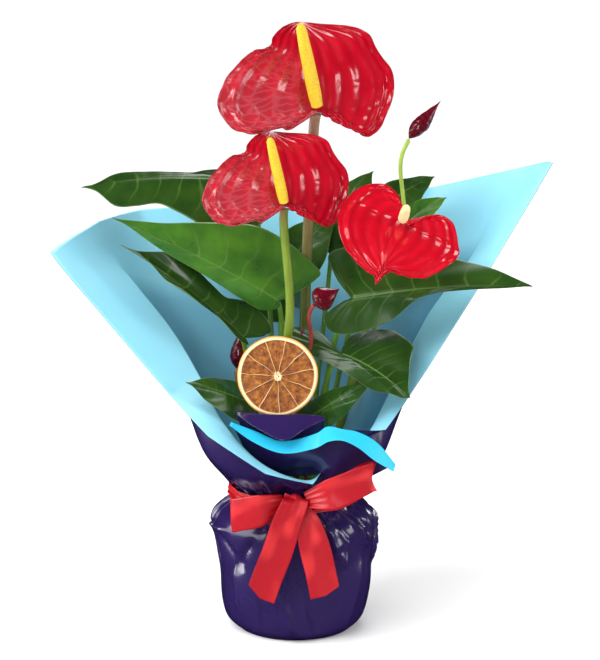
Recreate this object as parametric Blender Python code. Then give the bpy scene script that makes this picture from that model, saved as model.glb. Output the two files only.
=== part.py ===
"""Potted anthurium in a two-tone film wrap, tied at the pot's neck with a satin ribbon.

Metres, +Z up, front towards -Y. The origin is the middle of the wrapped pot's base, on the floor.
Heights of the plant and of the flared wrap are given above the nursery pot's rim, so they follow the pot.
"""
import math
from collections import namedtuple

import bpy
from mathutils import Vector

# Driving dimensions
POT_TOP_RADIUS = 0.0600
POT_BASE_RADIUS = 0.0440
POT_HEIGHT = 0.0940
POT_WALL = 0.0012
POT_RIM_DEPTH = 0.0080
POT_RIM_WIDTH = 0.0016
DRAIN_RADIUS = 0.0040
DRAIN_COUNT = 6
SOIL_BELOW_RIM = 0.0100
FILM = 0.0005
SLEEVE_SLACK = 0.0045
NECK_RADIUS = 0.0460
NECK_ABOVE_RIM = 0.0230
NECK_RISE = 0.0120
NECK_FLARE = 0.0130
FRONT_TUCK = 0.0035
RIBBON_WIDTH = 0.0250
RIBBON = 0.0006
BAND_WIDTH = 0.0120
KNOT_RADIUS = 0.0085
LEAF = 0.0008
SPATHE = 0.0011
SLICE_RADIUS = 0.0330
SLICE_THICKNESS = 0.0050
SLICE_RIGHT = 0.0188
SLICE_LOW = 0.0993
PICK_RADIUS = 0.0015
TOUCH = 0.0004
STEM_GAP = 0.0012

# Derived heights and radii
POT_FOOT = FILM + TOUCH
RIM_Z = POT_FOOT + POT_HEIGHT
SOIL_Z = RIM_Z - SOIL_BELOW_RIM
NECK_Z = RIM_Z + NECK_ABOVE_RIM
SLEEVE_RADIUS = POT_TOP_RADIUS + POT_RIM_WIDTH + SLEEVE_SLACK

# Half outlines of a blade from tip to sinus, as shares of its length and of its half width
LEAF_OUTLINE = ((1.0, 0.0), (0.93, 0.09), (0.80, 0.34), (0.60, 0.66), (0.38, 0.90), (0.15, 1.0),
                (-0.08, 0.95), (-0.24, 0.68), (-0.29, 0.38), (-0.22, 0.16), (-0.10, 0.06))
SPATHE_OUTLINE = ((1.0, 0.0), (0.95, 0.12), (0.85, 0.38), (0.66, 0.70), (0.40, 0.93), (0.12, 1.0),
                  (-0.12, 0.90), (-0.27, 0.66), (-0.32, 0.38), (-0.23, 0.16), (-0.10, 0.06))

# Blades: attachment and tip above the rim, the way the upper face looks, half widths on its two sides,
# length of the lobes behind the attachment (1 is the outline's own), and, as shares of the length,
# the arch of the midrib, the fold of the halves and the wave of the edge
Blade = namedtuple("Blade", "attach tip looks widths lobes arch fold wave")
LEAVES = {
    "leaf_back_left": Blade((-0.048, 0.035, 0.280), (-0.177, 0.020, 0.276), (0.0, -0.55, 0.83),
                            (0.030, 0.034), 0.8, 0.05, -0.10, 0.02),
    "leaf_left": Blade((-0.014, -0.020, 0.188), (-0.148, -0.028, 0.258), (0.1, -0.62, 0.78),
                       (0.022, 0.046), 0.5, 0.05, -0.10, 0.01),
    "leaf_left_low": Blade((-0.042, -0.018, 0.157), (-0.143, -0.010, 0.233), (0.2, -0.70, 0.70),
                           (0.026, 0.030), 0.8, 0.06, 0.04, 0.025),
    "leaf_front_left": Blade((-0.042, -0.040, 0.109), (-0.088, -0.062, 0.129), (0.0, -0.75, 0.66),
                             (0.017, 0.017), 1.0, 0.05, -0.10, 0.02),
    "leaf_right": Blade((0.047, -0.025, 0.191), (0.192, -0.045, 0.205), (0.0, -0.80, 0.60),
                        (0.048, 0.032), 0.6, 0.06, -0.10, 0.02),
    "leaf_right_low": Blade((0.038, -0.036, 0.147), (0.093, -0.066, 0.117), (0.1, -0.70, 0.70),
                            (0.034, 0.030), 1.0, 0.10, -0.12, 0.03),
    "leaf_back_mid": Blade((0.030, 0.056, 0.235), (0.066, 0.064, 0.283), (0.0, -0.60, 0.80),
                           (0.024, 0.024), 1.0, 0.06, -0.10, 0.02),
    "leaf_back_right": Blade((0.070, 0.058, 0.248), (0.118, 0.066, 0.278), (-0.1, -0.50, 0.86),
                             (0.028, 0.026), 1.0, 0.08, -0.10, 0.02),
    "leaf_right_high": Blade((0.090, 0.020, 0.243), (0.124, -0.004, 0.271), (0.0, -0.75, 0.66),
                             (0.016, 0.016), 1.0, 0.06, -0.08, 0.02),
    "leaf_front_right": Blade((0.012, -0.044, 0.096), (0.064, -0.046, 0.127), (0.1, -0.80, 0.58),
                              (0.013, 0.015), 0.7, 0.05, -0.10, 0.02),
    "leaf_centre": Blade((-0.006, 0.040, 0.208), (0.034, 0.048, 0.250), (0.0, -0.60, 0.80),
                         (0.026, 0.026), 1.0, 0.05, -0.08, 0.02),
    "leaf_rear": Blade((-0.012, 0.070, 0.175), (-0.062, 0.088, 0.220), (0.0, -0.30, 0.95),
                       (0.030, 0.030), 1.0, 0.08, -0.10, 0.02),
}
SPATHES = {
    "spathe_top": Blade((0.018, -0.002, 0.342), (0.006, 0.036, 0.410), (-0.1, -0.90, 0.42),
                        (0.080, 0.066), 0.8, 0.16, 0.06, 0.02),
    "spathe_middle": Blade((-0.008, -0.047, 0.271), (-0.019, -0.014, 0.326), (-0.1, -0.90, 0.42),
                           (0.064, 0.052), 0.8, 0.16, 0.06, 0.02),
    "spathe_right": Blade((0.087, -0.064, 0.260), (0.066, -0.094, 0.218), (0.1, -0.80, 0.60),
                          (0.053, 0.053), 1.5, 0.14, 0.02, 0.02),
}
# Spadices: base and tip above the rim, radius
SPADICES = {
    "spadix_top": ((0.0182, -0.0085, 0.3450), (0.0040, -0.0200, 0.4140), 0.0054),
    "spadix_middle": ((-0.0085, -0.0530, 0.2735), (-0.0200, -0.0640, 0.3280), 0.0043),
    "spadix_right": ((0.0852, -0.0710, 0.2630), (0.0880, -0.0870, 0.2770), 0.0040),
}
# Stems: foot (x, y) on the soil, radius at foot and head, the way it arrives, and points that it goes by
Stem = namedtuple("Stem", "foot radii arrival via")
PETIOLES = {
    "leaf_back_left": Stem((-0.020, 0.018), (0.0024, 0.0020), None, ()),
    "leaf_left": Stem((-0.017, -0.004), (0.0027, 0.0020), None, ()),
    "leaf_left_low": Stem((-0.024, 0.000), (0.0024, 0.0018), None, ()),
    "leaf_front_left": Stem((-0.019, -0.018), (0.0018, 0.0014), None, ()),
    "leaf_right": Stem((0.018, -0.006), (0.0028, 0.0022), None, ()),
    "leaf_right_low": Stem((0.014, -0.020), (0.0024, 0.0018), None, ()),
    "leaf_back_mid": Stem((0.012, 0.026), (0.0022, 0.0018), None, ()),
    "leaf_back_right": Stem((0.022, 0.020), (0.0024, 0.0018), None, ()),
    "leaf_right_high": Stem((0.029, 0.013), (0.0020, 0.0016), None, ((0.070, 0.036, 0.190),)),
    "leaf_front_right": Stem((0.004, -0.029), (0.0018, 0.0014), None, ()),
    "leaf_centre": Stem((-0.003, 0.016), (0.0022, 0.0018), None, ()),
    "leaf_rear": Stem((-0.008, 0.027), (0.0022, 0.0018), None, ()),
}
FLOWER_STEMS = {
    "spathe_top": Stem((0.006, 0.005), (0.0046, 0.0042), (0.1, -0.3, 1.0), ((0.009, 0.020, 0.200),)),
    "spathe_middle": Stem((-0.007, -0.015), (0.0040, 0.0034), (0.0, -0.1, 1.0),
                          ((-0.008, -0.034, 0.135), (-0.004, -0.045, 0.190))),
    "spathe_right": Stem((0.027, -0.010), (0.0036, 0.0030), (0.05, -0.85, 0.5),
                         ((0.059, 0.010, 0.160), (0.079, 0.017, 0.241))),
}
# Buds: foot and tip above the rim, greatest radius
BUDS = {
    "bud_high": ((0.0930, 0.0000, 0.3190), (0.1187, 0.0000, 0.3500), 0.0066),
    "bud_young": ((0.0150, -0.0460, 0.1900), (0.0360, -0.0520, 0.2040), 0.0085),
    "bud_left": ((-0.0490, 0.0100, 0.1240), (-0.0440, 0.0100, 0.1620), 0.0070),
    "bud_sheath": ((0.0040, -0.0130, 0.1400), (0.0060, -0.0140, 0.1670), 0.0034),
}
BUD_STEMS = {
    "bud_high": Stem((0.030, 0.003), (0.0018, 0.0016), (0.3, 0.0, 1.0),
                     ((0.074, 0.018, 0.180), (0.090, 0.006, 0.240))),
    "bud_young": Stem((0.008, -0.017), (0.0020, 0.0016), (0.3, -0.5, 1.0), ((0.013, -0.022, 0.145),)),
    "bud_left": Stem((-0.030, 0.009), (0.0022, 0.0020), (0.0, 0.0, 1.0), ()),
    "bud_sheath": Stem((0.001, -0.005), (0.0022, 0.0020), (0.1, -0.1, 1.0), ()),
}
# Wrap: for each fold line of the outer film the bearing at the neck (degrees from the front, towards the
# left) and the points above the rim that it passes through, out to the free edge
OUTER_FOLDS = (
    (0, (0.000, -0.063, 0.041), (0.004, -0.074, 0.051), (0.014, -0.086, 0.050)),
    (20, (-0.024, -0.062, 0.047), (-0.028, -0.072, 0.065), (-0.024, -0.090, 0.060)),
    (45, (-0.052, -0.050, 0.055), (-0.058, -0.052, 0.093), (-0.070, -0.082, 0.089)),
    (70, (-0.075, -0.026, 0.065), (-0.080, -0.012, 0.125), (-0.102, -0.052, 0.116)),
    (90, (-0.085, 0.000, 0.075), (-0.103, 0.020, 0.155), (-0.150, -0.036, 0.170)),
    (105, (-0.088, 0.020, 0.085), (-0.134, 0.034, 0.192), (-0.200, -0.020, 0.228)),
    (122, (-0.085, 0.045, 0.095), (-0.148, 0.052, 0.210), (-0.165, 0.047, 0.243)),
    (145, (-0.066, 0.072, 0.105), (-0.114, 0.090, 0.200), (-0.135, 0.100, 0.244)),
    (180, (0.000, 0.085, 0.105), (0.000, 0.115, 0.200), (0.000, 0.130, 0.250)),
    (215, (0.062, 0.075, 0.105), (0.100, 0.105, 0.205), (0.119, 0.118, 0.261)),
    (238, (0.085, 0.050, 0.105), (0.160, 0.074, 0.240), (0.196, 0.070, 0.286)),
    (255, (0.088, 0.020, 0.090), (0.148, 0.040, 0.214), (0.213, 0.020, 0.296)),
    (270, (0.083, 0.000, 0.075), (0.112, 0.018, 0.170), (0.158, 0.000, 0.205)),
    (292, (0.072, -0.030, 0.060), (0.084, -0.012, 0.122), (0.108, -0.025, 0.130)),
    (312, (0.056, -0.045, 0.052), (0.058, -0.044, 0.080), (0.074, -0.053, 0.087)),
    (328, (0.037, -0.055, 0.048), (0.041, -0.055, 0.074), (0.045, -0.059, 0.088)),
    (343, (0.018, -0.060, 0.042), (0.021, -0.063, 0.052), (0.023, -0.064, 0.057)),
)
FRONT_FOLDS = (
    ((-0.038, -0.040, 0.056), (-0.044, -0.050, 0.076), (-0.052, -0.064, 0.097), (-0.053, -0.070, 0.095)),
    ((-0.024, -0.051, 0.052), (-0.028, -0.061, 0.070), (-0.032, -0.070, 0.091), (-0.033, -0.078, 0.083)),
    ((-0.006, -0.056, 0.054), (-0.008, -0.065, 0.066), (-0.010, -0.075, 0.084), (-0.010, -0.082, 0.075)),
    ((0.010, -0.061, 0.058), (0.013, -0.069, 0.068), (0.016, -0.075, 0.090), (0.015, -0.083, 0.079)),
    ((0.024, -0.070, 0.054), (0.026, -0.075, 0.066), (0.026, -0.075, 0.096), (0.027, -0.087, 0.086)),
    ((0.033, -0.070, 0.048), (0.035, -0.077, 0.063), (0.038, -0.079, 0.095), (0.038, -0.092, 0.088)),
    ((0.042, -0.061, 0.045), (0.048, -0.071, 0.060), (0.052, -0.083, 0.093), (0.050, -0.094, 0.083)),
    ((0.053, -0.051, 0.045), (0.061, -0.062, 0.057), (0.067, -0.084, 0.084), (0.064, -0.094, 0.072)),
    ((0.062, -0.043, 0.045), (0.070, -0.056, 0.053), (0.081, -0.085, 0.067), (0.079, -0.090, 0.062)),
)
INNER_FOLDS = (
    ((-0.036, -0.032, 0.048), (-0.041, -0.043, 0.075), (-0.048, -0.058, 0.104), (-0.047, -0.065, 0.103)),
    ((-0.022, -0.046, 0.048), (-0.027, -0.055, 0.075), (-0.030, -0.065, 0.104), (-0.030, -0.077, 0.094)),
    ((-0.004, -0.051, 0.048), (-0.007, -0.059, 0.075), (-0.008, -0.067, 0.104), (-0.009, -0.087, 0.087)),
    ((0.012, -0.050, 0.048), (0.012, -0.058, 0.075), (0.010, -0.067, 0.104), (0.008, -0.078, 0.094)),
    ((0.022, -0.046, 0.048), (0.024, -0.055, 0.075), (0.024, -0.064, 0.102), (0.024, -0.068, 0.100)),
)
# Ribbon: centre lines, as place to the right, distance in front of the sleeve and height above the rim
KNOT = (0.0, 0.005, 0.030)
LOOP_LEFT = ((-0.009, 0.004, 0.031), (-0.028, 0.010, 0.026), (-0.050, -0.002, 0.018),
             (-0.050, -0.008, 0.017), (-0.030, 0.002, 0.022), (-0.009, 0.000, 0.028))
LOOP_RIGHT = ((0.009, 0.009, 0.034), (0.030, 0.025, 0.044), (0.058, 0.0228, 0.056),
              (0.059, 0.0168, 0.055), (0.032, 0.018, 0.041), (0.009, 0.005, 0.031))
TAIL_LEFT = ((-0.007, 0.0095, 0.018), (-0.014, 0.0085, -0.008), (-0.022, 0.0065, -0.030),
             (-0.029, 0.0060, -0.050))
TAIL_RIGHT = ((0.009, 0.0095, 0.018), (0.016, 0.0085, -0.006), (0.021, 0.0065, -0.028),
              (0.025, 0.0060, -0.048))


def clear_scene():
    for item in list(bpy.data.objects):
        bpy.data.objects.remove(item, do_unlink=True)


def material(name, colour, roughness, metallic=0.0):
    made = bpy.data.materials.new(name)
    made.use_nodes = True
    shader = made.node_tree.nodes["Principled BSDF"]
    shader.inputs["Base Color"].default_value = (*colour, 1.0)
    shader.inputs["Roughness"].default_value = roughness
    shader.inputs["Metallic"].default_value = metallic
    made.diffuse_color = (*colour, 1.0)
    return made


def add_mesh(name, points, faces, finish):
    mesh = bpy.data.meshes.new(name)
    mesh.from_pydata([tuple(point) for point in points], [], faces)
    mesh.update()
    mesh.shade_smooth()
    made = bpy.data.objects.new(name, mesh)
    bpy.context.scene.collection.objects.link(made)
    mesh.materials.append(finish)
    return made


def thicken(piece, thickness, offset=-1.0):
    wall = piece.modifiers.new("Wall", "SOLIDIFY")
    wall.thickness = thickness
    wall.offset = offset
    wall.use_even_offset = True
    return wall


def above_rim(point):
    return Vector((point[0], point[1], point[2] + RIM_Z))


def before_sleeve(point):
    return above_rim((point[0], -SLEEVE_RADIUS - point[1], point[2]))


def smooth_through(points, share):
    """Point at share 0..1 along a Catmull-Rom line through the points."""
    last = len(points) - 1
    place = min(max(share, 0.0), 1.0) * last
    start = min(int(place), last - 1)
    t = place - start
    p1, p2 = points[start], points[start + 1]
    p0 = points[start - 1] if start > 0 else p1 * 2 - p2
    p3 = points[start + 2] if start + 2 <= last else p2 * 2 - p1
    return (p1 * 2 + (p2 - p0) * t + (p0 * 2 - p1 * 5 + p2 * 4 - p3) * t ** 2
            + (p1 * 3 - p0 - p2 * 3 + p3) * t ** 3) * 0.5


def smooth_closed(points, place):
    """Point on a closed Catmull-Rom line, place counted in points."""
    count = len(points)
    start = int(place) % count
    t = place - int(place)
    p0, p1, p2, p3 = (points[(start + step) % count] for step in (-1, 0, 1, 2))
    return (p1 * 2 + (p2 - p0) * t + (p0 * 2 - p1 * 5 + p2 * 4 - p3) * t ** 2
            + (p1 * 3 - p0 - p2 * 3 + p3) * t ** 3) * 0.5


def turned(name, profile, finish, sides=40):
    """Solid of revolution about Z from an outline that starts and ends on the axis or closes on itself."""
    points = []
    faces = []
    rings = []
    for radius, height in profile:
        if radius == 0.0:
            rings.append([len(points)])
            points.append((0.0, 0.0, height))
            continue
        rings.append(list(range(len(points), len(points) + sides)))
        for side in range(sides):
            angle = math.tau * side / sides
            points.append((radius * math.cos(angle), radius * math.sin(angle), height))
    for low, high in zip(rings, rings[1:]):
        for side in range(sides):
            after = (side + 1) % sides
            if len(low) == 1:
                faces.append((low[0], high[after], high[side]))
            elif len(high) == 1:
                faces.append((low[side], low[after], high[0]))
            else:
                faces.append((low[side], low[after], high[after], high[side]))
    return add_mesh(name, points, faces, finish)


def along_of(blade):
    return (above_rim(blade.tip) - above_rim(blade.attach)).normalized()


def face_of(blade):
    along = along_of(blade)
    face = Vector(blade.looks)
    return (face - along * face.dot(along)).normalized()


def blade_point(blade, u, v):
    """Point of a blade at u along its midrib and v across it, both as shares of length and half width."""
    start = above_rim(blade.attach)
    length = (above_rim(blade.tip) - start).length
    along, face = along_of(blade), face_of(blade)
    across = face.cross(along)
    half = blade.widths[0] if v >= 0.0 else blade.widths[1]
    if u < 0.0:
        u *= blade.lobes
    ripple = blade.wave * math.hypot(u, v) ** 2 * math.sin(7.0 * math.atan2(v, u))
    rise = 4.0 * blade.arch * u * (1.0 - u) + blade.fold * abs(v) ** 1.3 + ripple
    return start + along * (u * length) + across * (v * half) + face * (rise * length)


def make_blade(name, blade, outline, thickness, finish, rings=3):
    """Closed blade: the upper face and, a thickness behind it, the lower one, joined round the edge."""
    edge = list(outline) + [(u, -v) for u, v in reversed(outline[1:])]
    count = len(edge)
    upper = [blade_point(blade, 0.0, 0.0)]
    for ring in range(1, rings + 1):
        upper += [blade_point(blade, u * ring / rings, v * ring / rings) for u, v in edge]
    behind = face_of(blade) * thickness
    points = upper + [point - behind for point in upper]
    below = len(upper)
    rim = 1 + (rings - 1) * count
    faces = []
    for spoke in range(count):
        after = (spoke + 1) % count
        faces.append((0, 1 + spoke, 1 + after))
        faces.append((below, below + 1 + after, below + 1 + spoke))
        for ring in range(rings - 1):
            low, high = 1 + ring * count, 1 + (ring + 1) * count
            quad = (low + spoke, high + spoke, high + after, low + after)
            faces.append(quad)
            faces.append(tuple(below + corner for corner in reversed(quad)))
        faces.append((rim + spoke, below + rim + spoke, below + rim + after, rim + after))
    return add_mesh(name, points, faces, finish)


def add_tube(name, line, radii, finish, resolution=1):
    curve = bpy.data.curves.new(name, "CURVE")
    curve.dimensions = "3D"
    curve.bevel_depth = 1.0
    curve.bevel_resolution = resolution
    curve.use_fill_caps = True
    spline = curve.splines.new("POLY")
    spline.points.add(len(line) - 1)
    for control, place, radius in zip(spline.points, line, radii):
        control.co = (*place, 1.0)
        control.radius = radius
    curve.materials.append(finish)
    piece = bpy.data.objects.new(name, curve)
    bpy.context.scene.collection.objects.link(piece)
    return piece


def bezier(p0, p1, p2, p3, t):
    s = 1.0 - t
    return p0 * s ** 3 + p1 * (3 * s * s * t) + p2 * (3 * s * t * t) + p3 * t ** 3


def make_stem(name, stem, head, arrival, finish, steps=10):
    """Tube from the soil up to a head, by way of its own points, arriving along a given direction."""
    foot_radius, head_radius = stem.radii
    foot = Vector((*stem.foot, SOIL_Z + TOUCH + foot_radius * 0.15))
    end = head - arrival * (STEM_GAP + foot_radius * 0.3)
    reach = (end - foot).length
    if stem.via:
        way = [foot, foot + Vector((0, 0, 0.16 * reach)), *(above_rim(point) for point in stem.via),
               end - arrival * (0.07 * reach), end]
        line = [smooth_through(way, i / steps) for i in range(steps + 1)]
    else:
        rise, back = foot + Vector((0, 0, 0.42 * reach)), end - arrival * (0.25 * reach)
        line = [bezier(foot, rise, back, end, i / steps) for i in range(steps + 1)]
    radii = [foot_radius + (head_radius - foot_radius) * i / steps for i in range(steps + 1)]
    return add_tube(name, line, radii, finish)


def make_bud(name, bud, finish):
    base, tip, radius = bud
    start, end = above_rim(base), above_rim(tip)
    shape = (0.25, 0.62, 0.92, 1.0, 0.86, 0.60, 0.30, 0.06)
    steps = len(shape) - 1
    line = [start.lerp(end, i / steps) for i in range(steps + 1)]
    return add_tube(name, line, [radius * part for part in shape], finish, 2)


def make_spadix(name, spadix, finish):
    base, tip, radius = spadix
    start, end = above_rim(base), above_rim(tip)
    shape = (0.82, 0.96, 1.0, 0.98, 0.92, 0.82, 0.66, 0.30)
    places = (0.0, 0.08, 0.25, 0.50, 0.72, 0.86, 0.95, 1.0)
    line = [start.lerp(end, place) for place in places]
    return add_tube(name, line, [radius * part for part in shape], finish, 2)


def neck_point(bearing, radius, height):
    angle = math.radians(bearing)
    return Vector((-radius * math.sin(angle), -radius * math.cos(angle), height))


def outer_lines():
    """One line for each fold of the outer film, from the middle of its bottom to its free edge."""
    sleeve = ((POT_BASE_RADIUS + 0.004, 0.0), (POT_BASE_RADIUS + 0.013, 0.010),
              (SLEEVE_RADIUS - 0.003, 0.40 * POT_HEIGHT), (SLEEVE_RADIUS, 0.80 * POT_HEIGHT),
              (SLEEVE_RADIUS - 0.001, RIM_Z + 0.002), (NECK_RADIUS + 0.006, NECK_Z - 0.008),
              (NECK_RADIUS, NECK_Z))
    lines = []
    for bearing, *flare in OUTER_FOLDS:
        low = [neck_point(bearing, radius, height) for radius, height in sleeve]
        opening = NECK_RADIUS + NECK_FLARE - FRONT_TUCK * math.cos(math.radians(bearing))
        low.append(neck_point(bearing, opening, NECK_Z + NECK_RISE))
        lines.append(low + [above_rim(point) for point in flare])
    return lines


def make_outer_film(finish, between=3):
    lines = outer_lines()
    count = len(lines) * between
    stations = len(lines[0])
    mids = (7, 8, 9)
    points = [Vector((0.0, 0.0, 0.0))]
    rows = 0
    for station in range(stations):
        column = [line[station] for line in lines]
        points += [smooth_closed(column, step / between) for step in range(count)]
        rows += 1
        if station in mids:
            halfway = [smooth_through(line[6:], (station - 6 + 0.5) / (stations - 7)) for line in lines]
            points += [smooth_closed(halfway, step / between) for step in range(count)]
            rows += 1
    faces = []
    for step in range(count):
        after = (step + 1) % count
        faces.append((0, 1 + step, 1 + after))
        for row in range(rows - 1):
            low, high = 1 + row * count, 1 + (row + 1) * count
            faces.append((low + step, high + step, high + after, low + after))
    piece = add_mesh("outer_film", points, faces, finish)
    thicken(piece, FILM)
    return piece


def make_open_film(name, folds, finish, across=4, up=3):
    """Film sheet through a row of open fold lines."""
    lines = [[above_rim(point) for point in line] for line in folds]
    columns = (len(lines) - 1) * across
    rows = (len(lines[0]) - 1) * up
    points = []
    for row in range(rows + 1):
        level = [smooth_through(line, row / rows) for line in lines]
        points += [smooth_through(level, column / columns) for column in range(columns + 1)]
    width = columns + 1
    faces = [(r * width + c, (r + 1) * width + c, (r + 1) * width + c + 1, r * width + c + 1)
             for r in range(rows) for c in range(columns)]
    piece = add_mesh(name, points, faces, finish)
    thicken(piece, FILM, 0.0)
    return piece


def make_ribbon(name, centres, width, finish, lean=(0.0, 0.0, 1.0), steps=12, widths=None):
    """Flat ribbon whose width stands along lean, swept through its centre line."""
    line = [before_sleeve(point) for point in centres]
    points = []
    for step in range(steps + 1):
        share = step / steps
        middle = smooth_through(line, share)
        ahead = smooth_through(line, min(1.0, share + 0.01)) - smooth_through(line, max(0.0, share - 0.01))
        side = Vector(lean) - ahead * (Vector(lean).dot(ahead) / ahead.dot(ahead))
        wide = width if widths is None else width * smooth_through([Vector((w, 0, 0)) for w in widths], share).x
        side = side.normalized() * (wide / 2)
        points += [middle - side, middle + side]
    faces = [(2 * s, 2 * s + 2, 2 * s + 3, 2 * s + 1) for s in range(steps)]
    piece = add_mesh(name, points, faces, finish)
    thicken(piece, RIBBON, 0.0)
    return piece


def make_pot(finish):
    bottom = POT_FOOT
    wall_slope = (POT_TOP_RADIUS - POT_BASE_RADIUS) / POT_HEIGHT
    lip = RIM_Z - POT_RIM_DEPTH
    lip_radius = POT_TOP_RADIUS - wall_slope * POT_RIM_DEPTH
    profile = ((0.0, bottom), (POT_BASE_RADIUS, bottom), (lip_radius, lip),
               (lip_radius + POT_RIM_WIDTH, lip), (POT_TOP_RADIUS + POT_RIM_WIDTH, RIM_Z),
               (POT_TOP_RADIUS - POT_WALL, RIM_Z),
               (POT_BASE_RADIUS - POT_WALL, bottom + POT_WALL), (0.0, bottom + POT_WALL))
    pot = turned("nursery_pot", profile, finish)
    holes = []
    for index in range(DRAIN_COUNT):
        angle = math.tau * index / DRAIN_COUNT
        middle = Vector((math.cos(angle), math.sin(angle), 0.0)) * (POT_BASE_RADIUS * 0.6)
        low, high = bottom - POT_WALL, bottom + 3 * POT_WALL
        cutter = add_tube(f"drain_cut_{index}", [middle + Vector((0, 0, low)), middle + Vector((0, 0, high))],
                          (DRAIN_RADIUS, DRAIN_RADIUS), finish)
        cutter.hide_render = True
        cutter.display_type = "WIRE"
        holes.append(cutter)
    return pot, holes


def cut_drains(pot, holes):
    bpy.context.view_layer.update()
    for index, cutter in enumerate(holes):
        mesh = bpy.data.meshes.new_from_object(cutter.evaluated_get(bpy.context.evaluated_depsgraph_get()))
        solid = bpy.data.objects.new(f"drain_{index}", mesh)
        bpy.context.scene.collection.objects.link(solid)
        solid.hide_render = True
        solid.display_type = "WIRE"
        cut = pot.modifiers.new(f"Drain {index}", "BOOLEAN")
        cut.operation = "DIFFERENCE"
        cut.object = solid
        bpy.data.objects.remove(cutter, do_unlink=True)


def make_soil(finish):
    slope = (POT_TOP_RADIUS - POT_BASE_RADIUS) / POT_HEIGHT
    low = POT_FOOT + POT_WALL + TOUCH
    base = POT_BASE_RADIUS - POT_WALL - TOUCH
    depth = SOIL_Z - low
    return turned("potting_soil", ((0.0, low), (base, low), (base + slope * depth, SOIL_Z), (0.0, SOIL_Z)),
                  finish)


def make_band(finish):
    inner = NECK_RADIUS + TOUCH * 6
    low, high = NECK_Z - BAND_WIDTH / 2, NECK_Z + BAND_WIDTH / 2
    rings = [(inner + 0.005, low), (inner + 0.005 + RIBBON, low), (inner + 0.002 + RIBBON, NECK_Z),
             (inner + 0.008 + RIBBON, high), (inner + 0.008, high), (inner + 0.002, NECK_Z)]
    return turned("ribbon_band", rings + rings[:1], finish, 40)


def make_knot(finish):
    centre = before_sleeve(KNOT)
    bpy.ops.mesh.primitive_uv_sphere_add(segments=16, ring_count=10, radius=KNOT_RADIUS, location=centre)
    knot = bpy.context.object
    knot.name = "ribbon_knot"
    knot.scale = (0.85, 0.60, 1.10)
    knot.data.shade_smooth()
    knot.data.materials.append(finish)
    return knot


def make_slice(finish, pick_finish):
    centre = above_rim((SLICE_RIGHT - SLICE_RADIUS, -0.0538, SLICE_LOW + SLICE_RADIUS))
    bpy.ops.mesh.primitive_cylinder_add(vertices=40, radius=SLICE_RADIUS, depth=SLICE_THICKNESS,
                                        location=centre, rotation=(math.radians(82), 0.0, 0.0))
    orange = bpy.context.object
    orange.name = "orange_slice"
    soften = orange.modifiers.new("Rim", "BEVEL")
    soften.width = SLICE_THICKNESS * 0.3
    soften.segments = 2
    orange.data.materials.append(finish)
    behind = SLICE_THICKNESS / 2 + PICK_RADIUS + 0.0016
    foot = Vector((centre.x, 0.010 - NECK_RADIUS, SOIL_Z + TOUCH))
    head = Vector((centre.x, centre.y + behind, centre.z + SLICE_RADIUS * 0.2))
    add_tube("slice_pick", [foot, foot.lerp(head, 0.5), head], [PICK_RADIUS] * 3, pick_finish)


def make_plant(green, pale_green, tan, red, dark_red, yellow):
    for name, blade in LEAVES.items():
        make_blade(name, blade, LEAF_OUTLINE, LEAF, green)
    for name, blade in SPATHES.items():
        make_blade(name, blade, SPATHE_OUTLINE, SPATHE, red, 4)
    for name, spadix in SPADICES.items():
        make_spadix(name, spadix, yellow)
    for name, stem in PETIOLES.items():
        blade = LEAVES[name]
        face = face_of(blade)
        head = above_rim(blade.attach) - face * (LEAF + stem.radii[1])
        arrival = (face + along_of(blade) * 0.6).normalized()
        make_stem(name.replace("leaf", "petiole"), stem, head, arrival, pale_green)
    for name, stem in FLOWER_STEMS.items():
        blade = SPATHES[name]
        head = above_rim(blade.attach) - face_of(blade) * (SPATHE + TOUCH + stem.radii[1])
        make_stem(name.replace("spathe", "stem"), stem, head, Vector(stem.arrival).normalized(), tan)
    for name, bud in BUDS.items():
        make_bud(name, bud, dark_red)
    for name, stem in BUD_STEMS.items():
        make_stem(f"{name}_stem", stem, above_rim(BUDS[name][0]), Vector(stem.arrival).normalized(), pale_green)


def make_ribbon_pieces(satin):
    make_band(satin)
    make_knot(satin)
    make_ribbon("ribbon_loop_left", LOOP_LEFT, RIBBON_WIDTH, satin, widths=(0.5, 1.0, 1.1, 1.1, 1.0, 0.5))
    make_ribbon("ribbon_loop_right", LOOP_RIGHT, RIBBON_WIDTH, satin, lean=(0.2, 0.0, 1.0),
                widths=(0.5, 1.0, 1.0, 1.0, 1.0, 0.5))
    make_ribbon("ribbon_tail_left", TAIL_LEFT, RIBBON_WIDTH, satin, lean=(1.0, 0.0, 0.1),
                widths=(0.45, 0.9, 1.0, 1.0))
    make_ribbon("ribbon_tail_right", TAIL_RIGHT, RIBBON_WIDTH, satin, lean=(1.0, 0.0, -0.1),
                widths=(0.45, 0.9, 1.0, 1.0))


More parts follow.
